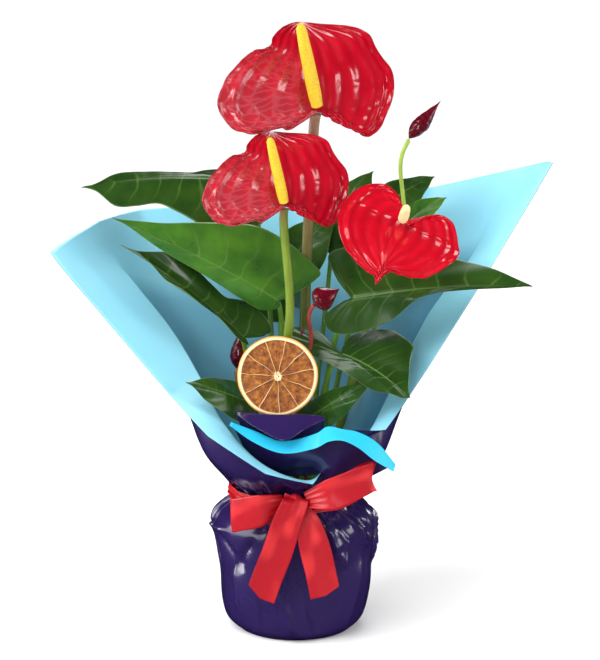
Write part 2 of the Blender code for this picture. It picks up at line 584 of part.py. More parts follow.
def main():
    clear_scene()
    green = material("leaf green", (0.05, 0.16, 0.04), 0.35)
    pale_green = material("petiole green", (0.28, 0.45, 0.12), 0.45)
    tan = material("flower stem", (0.36, 0.30, 0.14), 0.5)
    red = material("spathe red", (0.62, 0.01, 0.03), 0.22)
    dark_red = material("bud red", (0.28, 0.01, 0.03), 0.3)
    yellow = material("spadix yellow", (0.80, 0.55, 0.03), 0.6)
    black = material("pot plastic", (0.02, 0.02, 0.02), 0.5)
    brown = material("soil", (0.06, 0.04, 0.025), 0.95)
    film = material("wrap film", (0.04, 0.02, 0.13), 0.25)
    satin = material("ribbon satin", (0.70, 0.02, 0.04), 0.35)
    fruit = material("dried orange", (0.60, 0.25, 0.06), 0.6)
    wood = material("pick wood", (0.60, 0.45, 0.28), 0.7)
    pot, holes = make_pot(black)
    cut_drains(pot, holes)
    make_soil(brown)
    make_outer_film(film)
    make_open_film("front_film", FRONT_FOLDS, film)
    make_open_film("inner_film", INNER_FOLDS, film)
    make_ribbon_pieces(satin)
    make_slice(fruit, wood)
    make_plant(green, pale_green, tan, red, dark_red, yellow)


main()
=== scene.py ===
import math
import random

import bpy
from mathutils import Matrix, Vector, noise


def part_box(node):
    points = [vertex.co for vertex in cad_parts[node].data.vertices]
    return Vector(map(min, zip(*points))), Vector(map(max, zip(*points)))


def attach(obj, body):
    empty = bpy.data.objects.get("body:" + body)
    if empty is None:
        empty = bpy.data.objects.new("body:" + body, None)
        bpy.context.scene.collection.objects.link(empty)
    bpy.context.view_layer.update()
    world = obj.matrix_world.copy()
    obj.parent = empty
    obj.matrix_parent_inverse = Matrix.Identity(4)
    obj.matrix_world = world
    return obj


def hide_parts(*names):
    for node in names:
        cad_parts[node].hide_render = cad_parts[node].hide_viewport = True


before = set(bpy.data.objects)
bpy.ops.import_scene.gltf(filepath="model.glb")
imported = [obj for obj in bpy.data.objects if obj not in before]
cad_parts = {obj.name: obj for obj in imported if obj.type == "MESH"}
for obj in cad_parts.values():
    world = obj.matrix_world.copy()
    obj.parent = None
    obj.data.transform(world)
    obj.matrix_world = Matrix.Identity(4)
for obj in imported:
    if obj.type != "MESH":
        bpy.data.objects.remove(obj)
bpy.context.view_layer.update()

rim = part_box("nursery_pot")[1][2]                # height of the pot's rim
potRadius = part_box("nursery_pot")[1][0]          # out to the rim's bead
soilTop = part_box("potting_soil")[1][2]
bandLow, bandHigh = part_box("ribbon_band")
neckHeight = (bandLow[2] + bandHigh[2]) / 2      # where the ribbon ties the wrap in
bpy.context.scene.view_settings.view_transform = "Standard"


def atRim(x, y, z):
    return Vector((x, y, z + rim))               # plant and wrap heights are counted from the pot's rim


def deselectAll():
    if bpy.context.object and bpy.context.object.mode != "OBJECT":
        bpy.ops.object.mode_set(mode="OBJECT")
    bpy.ops.object.select_all(action="DESELECT")


def pickOut(piece):
    deselectAll()
    piece.select_set(True)
    bpy.context.view_layer.objects.active = piece


def named(name):
    piece = bpy.context.object
    piece.name = piece.data.name = name
    return piece


# run edit-mode operators, given as functions, on the whole mesh
def editAll(piece, *steps):
    pickOut(piece)
    bpy.ops.object.mode_set(mode="EDIT")
    bpy.ops.mesh.select_all(action="SELECT")
    for step in steps:
        step()
    bpy.ops.object.mode_set(mode="OBJECT")


def weld(piece, distance=1e-5):
    editAll(piece, lambda: bpy.ops.mesh.remove_doubles(threshold=distance),
            lambda: bpy.ops.mesh.normals_make_consistent(inside=False))


# turn an open sheet's faces over if most of them look away from a direction
def faceTowards(piece, direction):
    turn = sum((polygon.normal * polygon.area for polygon in piece.data.polygons), Vector())
    if turn.dot(direction) < 0:
        editAll(piece, lambda: bpy.ops.mesh.flip_normals())


def applyModifier(piece, kind, **settings):
    pickOut(piece)
    modifier = piece.modifiers.new(kind.title(), kind)
    for key, value in settings.items():
        setattr(modifier, key, value)
    bpy.ops.object.modifier_apply(modifier=modifier.name)


# a grid with its unit square bent to shape(u, v); its UV map keeps u and v
def shapedGrid(name, across, along, shape):
    deselectAll()
    bpy.ops.mesh.primitive_grid_add(x_subdivisions=across, y_subdivisions=along, size=1.0)
    piece = named(name)
    for vertex in piece.data.vertices:
        vertex.co = shape(vertex.co.x + 0.5, vertex.co.y + 0.5)
    return piece


def paint(piece, *materials):
    for material in materials:
        piece.data.materials.append(material)


def finishPiece(piece, slotName, *standsFor):
    piece.data.shade_smooth()
    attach(piece, "root")
    if standsFor:
        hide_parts(*standsFor)
    return piece


def catmullRom(p0, p1, p2, p3, t):
    return (p1 * 2 + (p2 - p0) * t + (p0 * 2 - p1 * 5 + p2 * 4 - p3) * t ** 2
            + (p1 * 3 - p0 - p2 * 3 + p3) * t ** 3) * 0.5


# point on a Catmull-Rom line through the points
def smoothLine(points, share):
    last = len(points) - 1
    place = min(max(share, 0.0), 1.0) * last
    start = min(int(place), last - 1)
    p1, p2 = points[start], points[start + 1]
    p0 = points[start - 1] if start > 0 else p1 * 2 - p2
    p3 = points[start + 2] if start + 2 <= last else p2 * 2 - p1
    return catmullRom(p0, p1, p2, p3, place - start)


# point on a closed Catmull-Rom line, with the place counted in points
def roundLoop(points, place):
    start = math.floor(place)
    near = (points[(start + step) % len(points)] for step in (-1, 0, 1, 2))
    return catmullRom(*near, place - start)


def straightLoop(points, place):
    start = math.floor(place)
    return points[start % len(points)].lerp(points[(start + 1) % len(points)], place - start)


# numbers as points on the x axis, so that a smooth line can run through them
def asPoints(values):
    return [Vector((value, 0, 0)) for value in values]


def roundCorner(before, corner, after, t):
    return before * (1 - t) ** 2 + corner * (2 * t * (1 - t)) + after * t * t


# unit length along a line, its length, and two directions square to it
def axisOf(start, end):
    along = end - start
    length = along.length
    along.normalize()
    side = along.cross(Vector((0, 1, 0))).normalized()
    return along, length, side, along.cross(side)


def fade(value, low, high):
    t = min(max((value - low) / (high - low), 0.0), 1.0)
    return t * t * (3 - 2 * t)


studio = {
    "elevation": 12.0, "distance": 2.0, "lens": 131.4, "aim": (0.004, 0.0, 0.254),
    "worldStrength": 0.46, "floorSize": 40.0,
    "sun": {"place": (-1.6, -2.0, 4.0), "strength": 2.6, "angle": 50.0},
    "lights": (  # name, place, aim, size, watts
        ("keyLeft", (-1.5, -0.9, 1.5), (0.0, 0.0, 0.25), 0.7, 13.0),
        ("fillRight", (1.7, -1.0, 1.0), (0.0, 0.0, 0.25), 0.5, 7.0),
        ("cardLeft", (-1.5, -0.3, 0.45), (0.0, 0.0, 0.12), 0.9, 8.0),
        ("cardRight", (1.5, -0.5, 0.35), (0.0, 0.0, 0.1), 0.6, 5.0),
        ("rimLeft", (-1.5, 0.35, 0.3), (0.0, 0.0, 0.08), 0.6, 8.0),
        ("rimRight", (1.4, 0.7, 0.3), (0.0, 0.0, 0.08), 0.5, 6.0),
        ("frontLow", (-0.5, -2.2, 0.5), (0.0, 0.0, 0.15), 0.35, 7.0),
        ("topBack", (0.3, 1.2, 1.7), (0.0, 0.0, 0.3), 0.9, 12.0),
    ),
}


def aimAt(thing, target):
    thing.rotation_euler = (Vector(target) - thing.location).to_track_quat("-Z", "Y").to_euler()


def setStudio():
    tilt = math.radians(studio["elevation"])
    aim = Vector(studio["aim"])
    deselectAll()
    towardsCamera = Vector((0, -math.cos(tilt), math.sin(tilt)))
    bpy.ops.object.camera_add(location=aim + towardsCamera * studio["distance"])
    camera = bpy.context.object
    camera.name = "camera"
    camera.data.lens = studio["lens"]
    aimAt(camera, aim)
    bpy.context.scene.camera = camera
    for name, place, target, size, watts in studio["lights"]:
        bpy.ops.object.light_add(type="AREA", location=place)
        light = bpy.context.object
        light.name = name
        light.data.size = size
        light.data.energy = watts
        aimAt(light, target)
    bpy.ops.object.light_add(type="SUN", location=studio["sun"]["place"])
    sun = bpy.context.object
    sun.name = "softSun"
    sun.data.energy = studio["sun"]["strength"]
    sun.data.angle = math.radians(studio["sun"]["angle"])
    sun.visible_glossy = False                    # only the area lights make highlights
    aimAt(sun, (0.0, 0.0, 0.2))
    world = bpy.data.worlds.new("white room")
    world.use_nodes = True
    sky = world.node_tree.nodes["Background"]
    sky.inputs["Color"].default_value = (1.0, 1.0, 1.0, 1.0)
    sky.inputs["Strength"].default_value = studio["worldStrength"]
    bpy.context.scene.world = world
    world.cycles_visibility.glossy = False        # so dark film and leaves keep their depth
    deselectAll()
    bpy.ops.mesh.primitive_plane_add(size=studio["floorSize"])
    floor = named("studio_floor")
    floor.data.materials.append(floorPaint())
    floor.visible_glossy = False
    print("studio set")


def newMaterial(name, roughness=0.5, **sockets):
    material = bpy.data.materials.new(name)
    material.use_nodes = True
    shader = material.node_tree.nodes["Principled BSDF"]
    shader.inputs["Roughness"].default_value = roughness
    for key, value in sockets.items():
        shader.inputs[key.replace("_", " ")].default_value = value
    return material, material.node_tree, shader


def feed(tree, socket, value):                    # link an output, or set a colour or a number
    if isinstance(value, bpy.types.NodeSocket):
        tree.links.new(value, socket)
    elif hasattr(value, "__len__") and socket.type == "RGBA":
        socket.default_value = (*value, 1.0)
    else:
        socket.default_value = value


def addNode(tree, kind, inputs=None, **settings):
    node = tree.nodes.new(kind)
    for key, value in settings.items():
        setattr(node, key, value)
    for key, value in (inputs or {}).items():
        feed(tree, node.inputs[key], value)
    return node


def calc(tree, operation, *values, clamp=False):
    node = addNode(tree, "ShaderNodeMath", operation=operation, use_clamp=clamp)
    for socket, value in zip(node.inputs, values):
        feed(tree, socket, value)
    return node.outputs[0]


def plus(tree, first, second):
    return calc(tree, "ADD", first, second)


def times(tree, first, second):
    return calc(tree, "MULTIPLY", first, second)


def scaled(tree, value, scale, start):
    return calc(tree, "MULTIPLY_ADD", value, scale, start)


def placeOn(tree):                                # place in the object's own space
    return addNode(tree, "ShaderNodeTexCoord").outputs["Object"]


def mapOn(tree):                                  # the piece's UV map, whole and as its two parts
    uv = addNode(tree, "ShaderNodeTexCoord").outputs["UV"]
    u, v = addNode(tree, "ShaderNodeSeparateXYZ", {"Vector": uv}).outputs[:2]
    return uv, u, v


def noiseAt(tree, vector, scale, detail=3.0, roughness=0.5, distortion=0.0):
    return addNode(tree, "ShaderNodeTexNoise", {"Vector": vector, "Scale": scale, "Detail": detail,
                   "Roughness": roughness, "Distortion": distortion}).outputs["Fac"]


def cellsAt(tree, vector, scale, feature="F1"):
    return addNode(tree, "ShaderNodeTexVoronoi", {"Vector": vector, "Scale": scale},
                   feature=feature).outputs["Distance"]


def stretched(tree, vector, scale):
    return addNode(tree, "ShaderNodeMapping", {"Vector": vector, "Scale": scale}).outputs["Vector"]


def ramp(tree, value, *stops):                    # each stop is a place, and a colour or a grey
    node = addNode(tree, "ShaderNodeValToRGB", {"Fac": value})
    elements = node.color_ramp.elements
    while len(elements) < len(stops):
        elements.new(0.5)
    for element, (place, colour) in zip(elements, stops):
        element.position = place
        element.color = (*colour, 1.0) if hasattr(colour, "__len__") else (colour, colour, colour, 1.0)
    return node.outputs["Color"]


def mixed(tree, factor, first, second, blend="MIX"):
    node = addNode(tree, "ShaderNodeMix", data_type="RGBA", blend_type=blend, clamp_factor=True)
    for index, value in ((0, factor), (6, first), (7, second)):
        feed(tree, node.inputs[index], value)
    return node.outputs[2]


def addBump(tree, shader, height, strength, distance):
    bump = addNode(tree, "ShaderNodeBump",
                   {"Height": height, "Strength": strength, "Distance": distance})
    tree.links.new(bump.outputs["Normal"], shader.inputs["Normal"])


def setColour(tree, shader, colour):
    tree.links.new(colour, shader.inputs["Base Color"])


def band(tree, value, middle, width):             # 1 on a line, falling to 0 at width from it
    away = calc(tree, "ABSOLUTE", calc(tree, "SUBTRACT", value, middle))
    return calc(tree, "SUBTRACT", 1.0, calc(tree, "DIVIDE", away, width), clamp=True)


def fromMiddle(tree, v):                          # 0 on the midrib, 1 at either margin
    return times(tree, calc(tree, "ABSOLUTE", calc(tree, "SUBTRACT", v, 0.5)), 2.0)


def floorPaint():
    material, tree, shader = newMaterial("studio floor", 0.9)
    setColour(tree, shader, ramp(tree, noiseAt(tree, placeOn(tree), 3.0), (0.3, 0.96), (0.7, 0.97)))
    return material


filmLook = {
    "outside": {"light": (0.026, 0.013, 0.092), "deep": (0.013, 0.006, 0.052),
                "roughness": 0.27, "coat": 0.6},
    # the cone's paintedShade is a painted shade colour, laid down the cone and behind the lapels
    "inside cone": {"light": (0.34, 0.75, 0.9), "deep": (0.24, 0.67, 0.86),
                    "roughness": 0.42, "coat": 0.1, "paintedShade": (0.0, 0.13, 0.33)},
    # the collar fold's inside is a deeper cyan copy of the inside film: painted shade
    "inside fold, painted shade": {"light": (0.03, 0.5, 0.74), "deep": (0.01, 0.42, 0.68),
                    "roughness": 0.38, "coat": 0.2},
    "cloudSize": 9.0, "grainSize": 900.0, "crumpleSize": 38.0,
}


def filmSide(name):
    look = filmLook[name]
    material, tree, shader = newMaterial(f"film {name}", look["roughness"],
                                         Coat_Weight=look["coat"], Coat_Roughness=0.12)
    place = placeOn(tree)
    cloud = noiseAt(tree, place, filmLook["cloudSize"], 2.0)
    colour = mixed(tree, cloud, look["deep"], look["light"])
    if "paintedShade" in look:                           # painted shade: darker down in the cone and behind the lapels
        u, v = mapOn(tree)[1:]
        down = ramp(tree, v, (0.7, 1), (0.79, 0.75), (0.812, 0))
        side = ramp(tree, u, (0.0, 0.6), (0.12, 1), (0.28, 1), (0.4, 0.4), (0.52, 0.35),
                    (0.61, 0.9), (0.68, 0.8), (0.73, 0.2))
        colour = mixed(tree, times(tree, down, side), colour, look["paintedShade"])
    setColour(tree, shader, colour)
    grain = noiseAt(tree, place, filmLook["grainSize"], 2.0)
    crumple = noiseAt(tree, place, filmLook["crumpleSize"], 4.0, 0.55, 0.6)
    addBump(tree, shader, scaled(tree, grain, 0.06, crumple), 0.22, 0.002)
    tree.links.new(scaled(tree, cloud, 0.14, look["roughness"] - 0.07), shader.inputs["Roughness"])
    return material


# paintedGleam is the colour of a painted sheen
satinLook = {"deep": (0.31, 0.001, 0.007), "light": (0.43, 0.002, 0.011), "paintedGleam": (0.74, 0.035, 0.035),
             "edge": (0.34, 0.003, 0.01), "threads": 1500.0}


def satinMaterial():
    material, tree, shader = newMaterial("ribbon satin", 0.3, Specular_IOR_Level=0.5)
    uv, u, v = mapOn(tree)
    threads = calc(tree, "SINE", times(tree, u, satinLook["threads"]))
    streaks = noiseAt(tree, stretched(tree, uv, (160.0, 3.0, 1.0)), 1.0, 2.0)
    edge = band(tree, calc(tree, "ABSOLUTE", calc(tree, "SUBTRACT", v, 0.5)), 0.5, 0.035)
    face = mixed(tree, streaks, satinLook["deep"], satinLook["light"])
    # painted sheen: lighter red patches standing in for the satin's highlights
    paintedGleam = noiseAt(tree, stretched(tree, uv, (2.6, 1.2, 1.0)), 1.0, 1.0)
    face = mixed(tree, ramp(tree, paintedGleam, (0.48, 0), (0.68, 0.7)), face, satinLook["paintedGleam"])
    setColour(tree, shader, mixed(tree, edge, face, satinLook["edge"]))
    addBump(tree, shader, scaled(tree, threads, 0.4, plus(tree, streaks, edge)), 0.18, 0.0004)
    return material


leafLook = {"blade": (0.03, 0.092, 0.008), "deep": (0.011, 0.046, 0.007), "vein": (0.16, 0.3, 0.07),
            "margin": (0.17, 0.27, 0.08), "veins": 11.0, "cloudSize": 45.0, "fleckSize": 420.0,
            "netSize": 260.0}


def leafMaterial(name, tone):                     # u runs from the sinus to the tip, v across the blade
    material, tree, shader = newMaterial(name, 0.3, Coat_Weight=0.15, Coat_Roughness=0.15,
                                         Specular_IOR_Level=0.35)
    place = placeOn(tree)
    u, v = mapOn(tree)[1:]
    out = fromMiddle(tree, v)
    cloud = noiseAt(tree, place, leafLook["cloudSize"])
    fleck = noiseAt(tree, place, leafLook["fleckSize"], 2.0)
    # tone lightens or darkens this leaf's green: painted light and shade
    blade = tuple(part * tone for part in leafLook["blade"])
    deep = tuple(part * tone for part in leafLook["deep"])
    colour = mixed(tree, ramp(tree, cloud, (0.32, 0), (0.68, 1)), deep, blade)
    colour = mixed(tree, times(tree, fleck, 0.35), colour, blade)
    shift = scaled(tree, noiseAt(tree, place, 60.0, 1.0), 0.05, -0.025)
    ribs = calc(tree, "FRACT", times(tree, plus(tree, u, shift), leafLook["veins"]))
    lateral = times(tree, band(tree, ribs, 0.5, 0.07), calc(tree, "SUBTRACT", 1.0, out, clamp=True))
    midrib, margin = band(tree, out, 0.0, 0.035), band(tree, out, 1.0, 0.035)
    marks = ((lateral, 0.34, "vein"), (midrib, 0.65, "vein"), (margin, 0.6, "margin"))
    for line, strength, tint in marks:
        colour = mixed(tree, times(tree, line, strength), colour, leafLook[tint])
    setColour(tree, shader, colour)
    net = cellsAt(tree, place, leafLook["netSize"], "DISTANCE_TO_EDGE")
    addBump(tree, shader, plus(tree, times(tree, net, 0.5), times(tree, fleck, 0.15)), 0.12, 0.0006)
    tree.links.new(scaled(tree, cloud, 0.16, 0.22), shader.inputs["Roughness"])
    return material


spatheLook = {
    # paintedSheen is a painted grey-pink sheen colour
    "spathe, wrinkled, painted sheen": {"red": (0.52, 0.001, 0.014), "dark": (0.3, 0.001, 0.009),
                         "paintedSheen": (0.5, 0.13, 0.16)},
    "spathe, heart": {"red": (0.6, 0.001, 0.014), "dark": (0.36, 0.001, 0.009)},
    "bud red": {"red": (0.15, 0.002, 0.012), "dark": (0.05, 0.001, 0.004)},
    "grooves": 27.6, "cloudSize": 50.0, "netSize": 180.0, "wrinkleSize": (34.0, 12.0, 1.0),
}


def spatheMaterial(name):
    look = spatheLook[name]
    material, tree, shader = newMaterial(name, 0.22, Coat_Weight=0.4, Coat_Roughness=0.07,
                                         Specular_IOR_Level=0.4)
    place = placeOn(tree)
    uv, u, v = mapOn(tree)
    out = fromMiddle(tree, v)
    cloud = noiseAt(tree, place, spatheLook["cloudSize"])
    colour = mixed(tree, cloud, look["dark"], look["red"])
    # painted shade: the red is darkened along the vein grooves of the relief
    groove = calc(tree, "COSINE", times(tree, out, spatheLook["grooves"]))
    colour = mixed(tree, scaled(tree, groove, -0.3, 0.3), colour, look["dark"])
    colour = mixed(tree, times(tree, band(tree, out, 1.0, 0.03), 0.7), colour, look["dark"])
    net = cellsAt(tree, place, spatheLook["netSize"], "SMOOTH_F1")
    height = plus(tree, net, times(tree, cloud, 0.6))
    if "paintedSheen" in look:                           # painted sheen: grey-pink wrinkle lines on the first half
        swirl = times(tree, noiseAt(tree, uv, 9.0, 2.0), 0.06)
        bent = addNode(tree, "ShaderNodeVectorMath", {0: uv, 1: swirl}, operation="ADD").outputs[0]
        drawnOut = stretched(tree, bent, spatheLook["wrinkleSize"])
        wrinkles = cellsAt(tree, drawnOut, 1.0, "DISTANCE_TO_EDGE")
        crest = ramp(tree, wrinkles, (0.0, 1), (0.16, 0))
        half = times(tree, ramp(tree, v, (0.52, 0), (0.64, 1)), ramp(tree, u, (0.3, 1), (0.8, 0)))
        paintedSheen = times(tree, half, scaled(tree, crest, 0.3, 0.14))
        colour = mixed(tree, paintedSheen, colour, look["paintedSheen"])
        height = plus(tree, times(tree, crest, half), height)
    setColour(tree, shader, colour)
    addBump(tree, shader, height, 0.16, 0.001)
    tree.links.new(scaled(tree, cloud, 0.12, 0.17), shader.inputs["Roughness"])
    return material


def spadixMaterial(name, light, deep):
    material, tree, shader = newMaterial(name, 0.55, Subsurface_Weight=0.15)
    shader.inputs["Subsurface Radius"].default_value = (0.004, 0.002, 0.0006)
    place = placeOn(tree)
    cell = cellsAt(tree, place, 900.0)
    speck = ramp(tree, cell, (0.15, light), (0.75, deep))
    tint = noiseAt(tree, place, 60.0, 2.0)
    setColour(tree, shader, mixed(tree, times(tree, tint, 0.5), speck, light))
    addBump(tree, shader, calc(tree, "SUBTRACT", 1.0, cell), 0.3, 0.0005)
    return material


# colours at foot and head, and the heights between which one turns into the other
stalkLook = {
    "petiole": ((0.22, 0.36, 0.05), (0.14, 0.3, 0.03), soilTop, rim + 0.2),
    "flower stalk": ((0.18, 0.26, 0.02), (0.22, 0.1, 0.05), rim + 0.275, rim + 0.297),
    "tall flower stalk": ((0.15, 0.17, 0.02), (0.32, 0.16, 0.1), rim + 0.22, rim + 0.33),
    "bud stalk": ((0.3, 0.06, 0.04), (0.36, 0.5, 0.07), rim + 0.12, rim + 0.2),
    "red bud stalk": ((0.24, 0.04, 0.03), (0.32, 0.05, 0.04), rim + 0.1, rim + 0.2),
}


def stalkMaterial(name):
    foot, head, low, high = stalkLook[name]
    material, tree, shader = newMaterial(name, 0.4, Specular_IOR_Level=0.4)
    place = placeOn(tree)
    height = addNode(tree, "ShaderNodeSeparateXYZ", {"Vector": place}).outputs[2]
    blotch = noiseAt(tree, stretched(tree, place, (1.0, 1.0, 0.18)), 240.0)
    share = addNode(tree, "ShaderNodeMapRange", {"Value": scaled(tree, blotch, 0.05, height),
                    "From Min": low, "From Max": high}).outputs["Result"]
    streak = ramp(tree, blotch, (0.35, 0.6), (0.65, 1))
    setColour(tree, shader, mixed(tree, 0.6, mixed(tree, share, foot, head), streak, "MULTIPLY"))
    addBump(tree, shader, blotch, 0.25, 0.0005)
    return material


def plasticMaterial():
    material, tree, shader = newMaterial("pot plastic", 0.5)
    scuff = noiseAt(tree, placeOn(tree), 160.0, 4.0)
    setColour(tree, shader, ramp(tree, scuff, (0.3, (0.012, 0.012, 0.013)),
                                 (0.75, (0.035, 0.034, 0.033))))
    addBump(tree, shader, scuff, 0.2, 0.0004)
    return material


def peatMaterial():
    material, tree, shader = newMaterial("peat", 0.95, Specular_IOR_Level=0.2)
    place = placeOn(tree)
    crumb = noiseAt(tree, place, 420.0, 5.0, 0.7)
    setColour(tree, shader, ramp(tree, crumb, (0.3, (0.012, 0.007, 0.004)),
                                 (0.55, (0.045, 0.026, 0.014)), (0.8, (0.11, 0.07, 0.04))))
    addBump(tree, shader, plus(tree, crumb, cellsAt(tree, place, 300.0)), 0.6, 0.001)
    return material


def woodMaterial():
    material, tree, shader = newMaterial("pick wood", 0.65)
    grain = noiseAt(tree, stretched(tree, placeOn(tree), (1.0, 1.0, 0.06)), 900.0, 4.0)
    setColour(tree, shader, ramp(tree, grain, (0.3, (0.34, 0.2, 0.09)), (0.7, (0.62, 0.44, 0.25))))
    addBump(tree, shader, grain, 0.3, 0.0003)
    return material


wrap = {
    "film": 0.0004, "slack": 0.0045, "neckRadius": 0.046, "neckRise": 0.012, "neckFlare": 0.013,
    "frontTuck": 0.0035, "baseRadius": 0.048, "ribsApart": 16,
    "girth": 0.063, "creaseScale": 1.7, "deepest": -0.0042, "wander": 0.0016,
    "puckers": 15, "lowPuckers": 8,
    "gather": 0.003, "gatherAbove": 0.02, "gatherBelow": 0.012, "pleats": (24, 37),
    "collarFold": 0.0016,
}

# fold lines of the outer film: bearing at the neck, in degrees from the front towards the
# left, the points above the rim out to the free edge, and how softly the film turns over there
outerFolds = (
    (0, (0.0, -0.063, 0.041), (0.004, -0.074, 0.051), (0.014, -0.086, 0.05), 0.003),
    (20, (-0.024, -0.062, 0.047), (-0.028, -0.072, 0.065), (-0.024, -0.09, 0.06), 0.003),
    (45, (-0.052, -0.05, 0.055), (-0.058, -0.052, 0.093), (-0.07, -0.082, 0.089), 0.003),
    (70, (-0.075, -0.026, 0.065), (-0.08, -0.012, 0.125), (-0.102, -0.052, 0.116), 0.003),
    (90, (-0.085, 0.0, 0.075), (-0.103, 0.02, 0.155), (-0.15, -0.036, 0.17), 0.003),
    (105, (-0.088, 0.02, 0.085), (-0.134, 0.034, 0.192), (-0.2, -0.02, 0.228), 0.005),
    (122, (-0.085, 0.045, 0.095), (-0.148, 0.052, 0.21), (-0.165, 0.047, 0.243), 0.014),
    (145, (-0.066, 0.072, 0.105), (-0.114, 0.09, 0.2), (-0.135, 0.1, 0.244), 0.02),
    (180, (0.0, 0.085, 0.105), (0.0, 0.115, 0.2), (0.0, 0.13, 0.25), 0.02),
    (215, (0.062, 0.075, 0.105), (0.1, 0.105, 0.205), (0.119, 0.118, 0.261), 0.02),
    (238, (0.085, 0.05, 0.105), (0.16, 0.074, 0.24), (0.196, 0.07, 0.286), 0.02),
    (255, (0.088, 0.02, 0.09), (0.148, 0.04, 0.214), (0.213, 0.02, 0.296), 0.006),
    (270, (0.083, 0.0, 0.075), (0.112, 0.018, 0.17), (0.158, 0.0, 0.205), 0.003),
    (292, (0.072, -0.03, 0.06), (0.084, -0.012, 0.122), (0.108, -0.025, 0.13), 0.003),
    (312, (0.056, -0.045, 0.052), (0.058, -0.044, 0.08), (0.074, -0.053, 0.087), 0.003),
    (328, (0.037, -0.055, 0.048), (0.041, -0.055, 0.074), (0.045, -0.059, 0.088), 0.003),
    (343, (0.018, -0.06, 0.042), (0.021, -0.063, 0.052), (0.023, -0.064, 0.057), 0.003),
)
# rows of fold lines above the rim: foot, middle, the fold along the top, and the free edge
frontFolds = (
    ((-0.038, -0.04, 0.056), (-0.044, -0.05, 0.076), (-0.052, -0.064, 0.097), (-0.053, -0.07, 0.095)),
    ((-0.024, -0.051, 0.052), (-0.028, -0.061, 0.07), (-0.032, -0.07, 0.091), (-0.033, -0.078, 0.083)),
    ((-0.006, -0.056, 0.054), (-0.008, -0.065, 0.066), (-0.01, -0.075, 0.084), (-0.01, -0.082, 0.075)),
    ((0.01, -0.061, 0.058), (0.013, -0.069, 0.068), (0.016, -0.075, 0.09), (0.015, -0.083, 0.079)),
    ((0.024, -0.07, 0.054), (0.026, -0.075, 0.066), (0.026, -0.075, 0.096), (0.027, -0.087, 0.086)),
    ((0.033, -0.07, 0.048), (0.035, -0.077, 0.063), (0.038, -0.079, 0.095), (0.038, -0.092, 0.088)),
    ((0.042, -0.061, 0.045), (0.048, -0.071, 0.06), (0.052, -0.083, 0.093), (0.05, -0.094, 0.083)),
    ((0.053, -0.051, 0.045), (0.061, -0.062, 0.057), (0.067, -0.084, 0.084), (0.064, -0.094, 0.072)),
    ((0.062, -0.043, 0.045), (0.07, -0.056, 0.053), (0.081, -0.085, 0.067), (0.079, -0.09, 0.062)),
)
innerFolds = (
    ((-0.036, -0.032, 0.048), (-0.041, -0.043, 0.075), (-0.048, -0.058, 0.104),
     (-0.047, -0.065, 0.103)),
    ((-0.022, -0.046, 0.048), (-0.027, -0.055, 0.075), (-0.03, -0.065, 0.104), (-0.03, -0.077, 0.094)),
    ((-0.004, -0.051, 0.048), (-0.007, -0.059, 0.075), (-0.008, -0.067, 0.104),
     (-0.009, -0.087, 0.087)),
    ((0.012, -0.05, 0.048), (0.012, -0.058, 0.075), (0.01, -0.067, 0.104), (0.008, -0.078, 0.094)),
    ((0.022, -0.046, 0.048), (0.024, -0.055, 0.075), (0.024, -0.064, 0.102), (0.024, -0.068, 0.1)),
)
# creases in the film round the pot: from bearing and height, to bearing and height, how far
# each stands out, and how wide it falls away on its left and its right
sleeveCreases = (
    (92, 0.088, 60, 0.092, 0.003, 0.003, 0.005),
    (66, 0.086, 42, 0.066, -0.003, 0.005, 0.0016),
    (34, 0.086, 52, 0.062, -0.0026, 0.0016, 0.005),
    (52, 0.064, 50, 0.026, 0.0014, 0.001, 0.01),
    (-14, 0.107, -32, 0.116, 0.0022, 0.0016, 0.004),
    (-22, 0.106, -28, 0.084, 0.0034, 0.0016, 0.008),
    (-28, 0.084, -36, 0.068, 0.003, 0.003, 0.006),
    (-38, 0.088, -36, 0.068, 0.0026, 0.005, 0.0016),
    (-25, 0.11, -38, 0.088, 0.0022, 0.004, 0.0016),
    (-42, 0.112, -58, 0.08, 0.0034, 0.0016, 0.006),
    (-50, 0.108, -70, 0.086, -0.0026, 0.003, 0.003),
    (4, 0.086, 9, 0.042, 0.0038, 0.009, 0.0018),
    (9, 0.042, 2, 0.016, 0.0038, 0.008, 0.0018),
    (2, 0.016, -8, 0.002, 0.003, 0.007, 0.0018),
    (-3, 0.056, -16, 0.008, -0.0022, 0.0018, 0.007),
    (-56, 0.066, -48, 0.014, 0.0024, 0.008, 0.0012),
    (28, 0.05, 30, 0.01, 0.0008, 0.01, 0.001),
)


# radius and height of the film round the pot, from the edge of its foot to the neck
def sleeveRings():
    sleeve = potRadius + wrap["slack"]
    foot = wrap["baseRadius"]
    neck = wrap["neckRadius"]
    return ((foot, 0.0), (foot + 0.009, 0.01), (sleeve - 0.003, 0.4 * rim), (sleeve, 0.8 * rim),
            (sleeve - 0.001, rim + 0.002), (neck + 0.006, neckHeight - 0.008), (neck, neckHeight))


def triangle(value):
    return 1.0 - 4.0 * abs(value - math.floor(value) - 0.5)


def creaseLift(crease, bearing, height):
    startBearing, low, endBearing, high, rise, leftWidth, rightWidth = crease
    round1, round2, place = (math.radians(angle) * wrap["girth"]
                             for angle in (startBearing, endBearing, bearing))
    dx, dz = round2 - round1, high - low
    length = math.hypot(dx, dz)
    along = ((place - round1) * dx + (height - low) * dz) / length ** 2
    aside = ((place - round1) * dz - (height - low) * dx) / length
    if dz < 0:
        aside = -aside
    ends = fade(along, -0.25, 0.15) * (1.0 - fade(along, 0.85, 1.25))
    return rise * ends * math.exp(-abs(aside) / (leftWidth if aside > 0 else rightWidth))


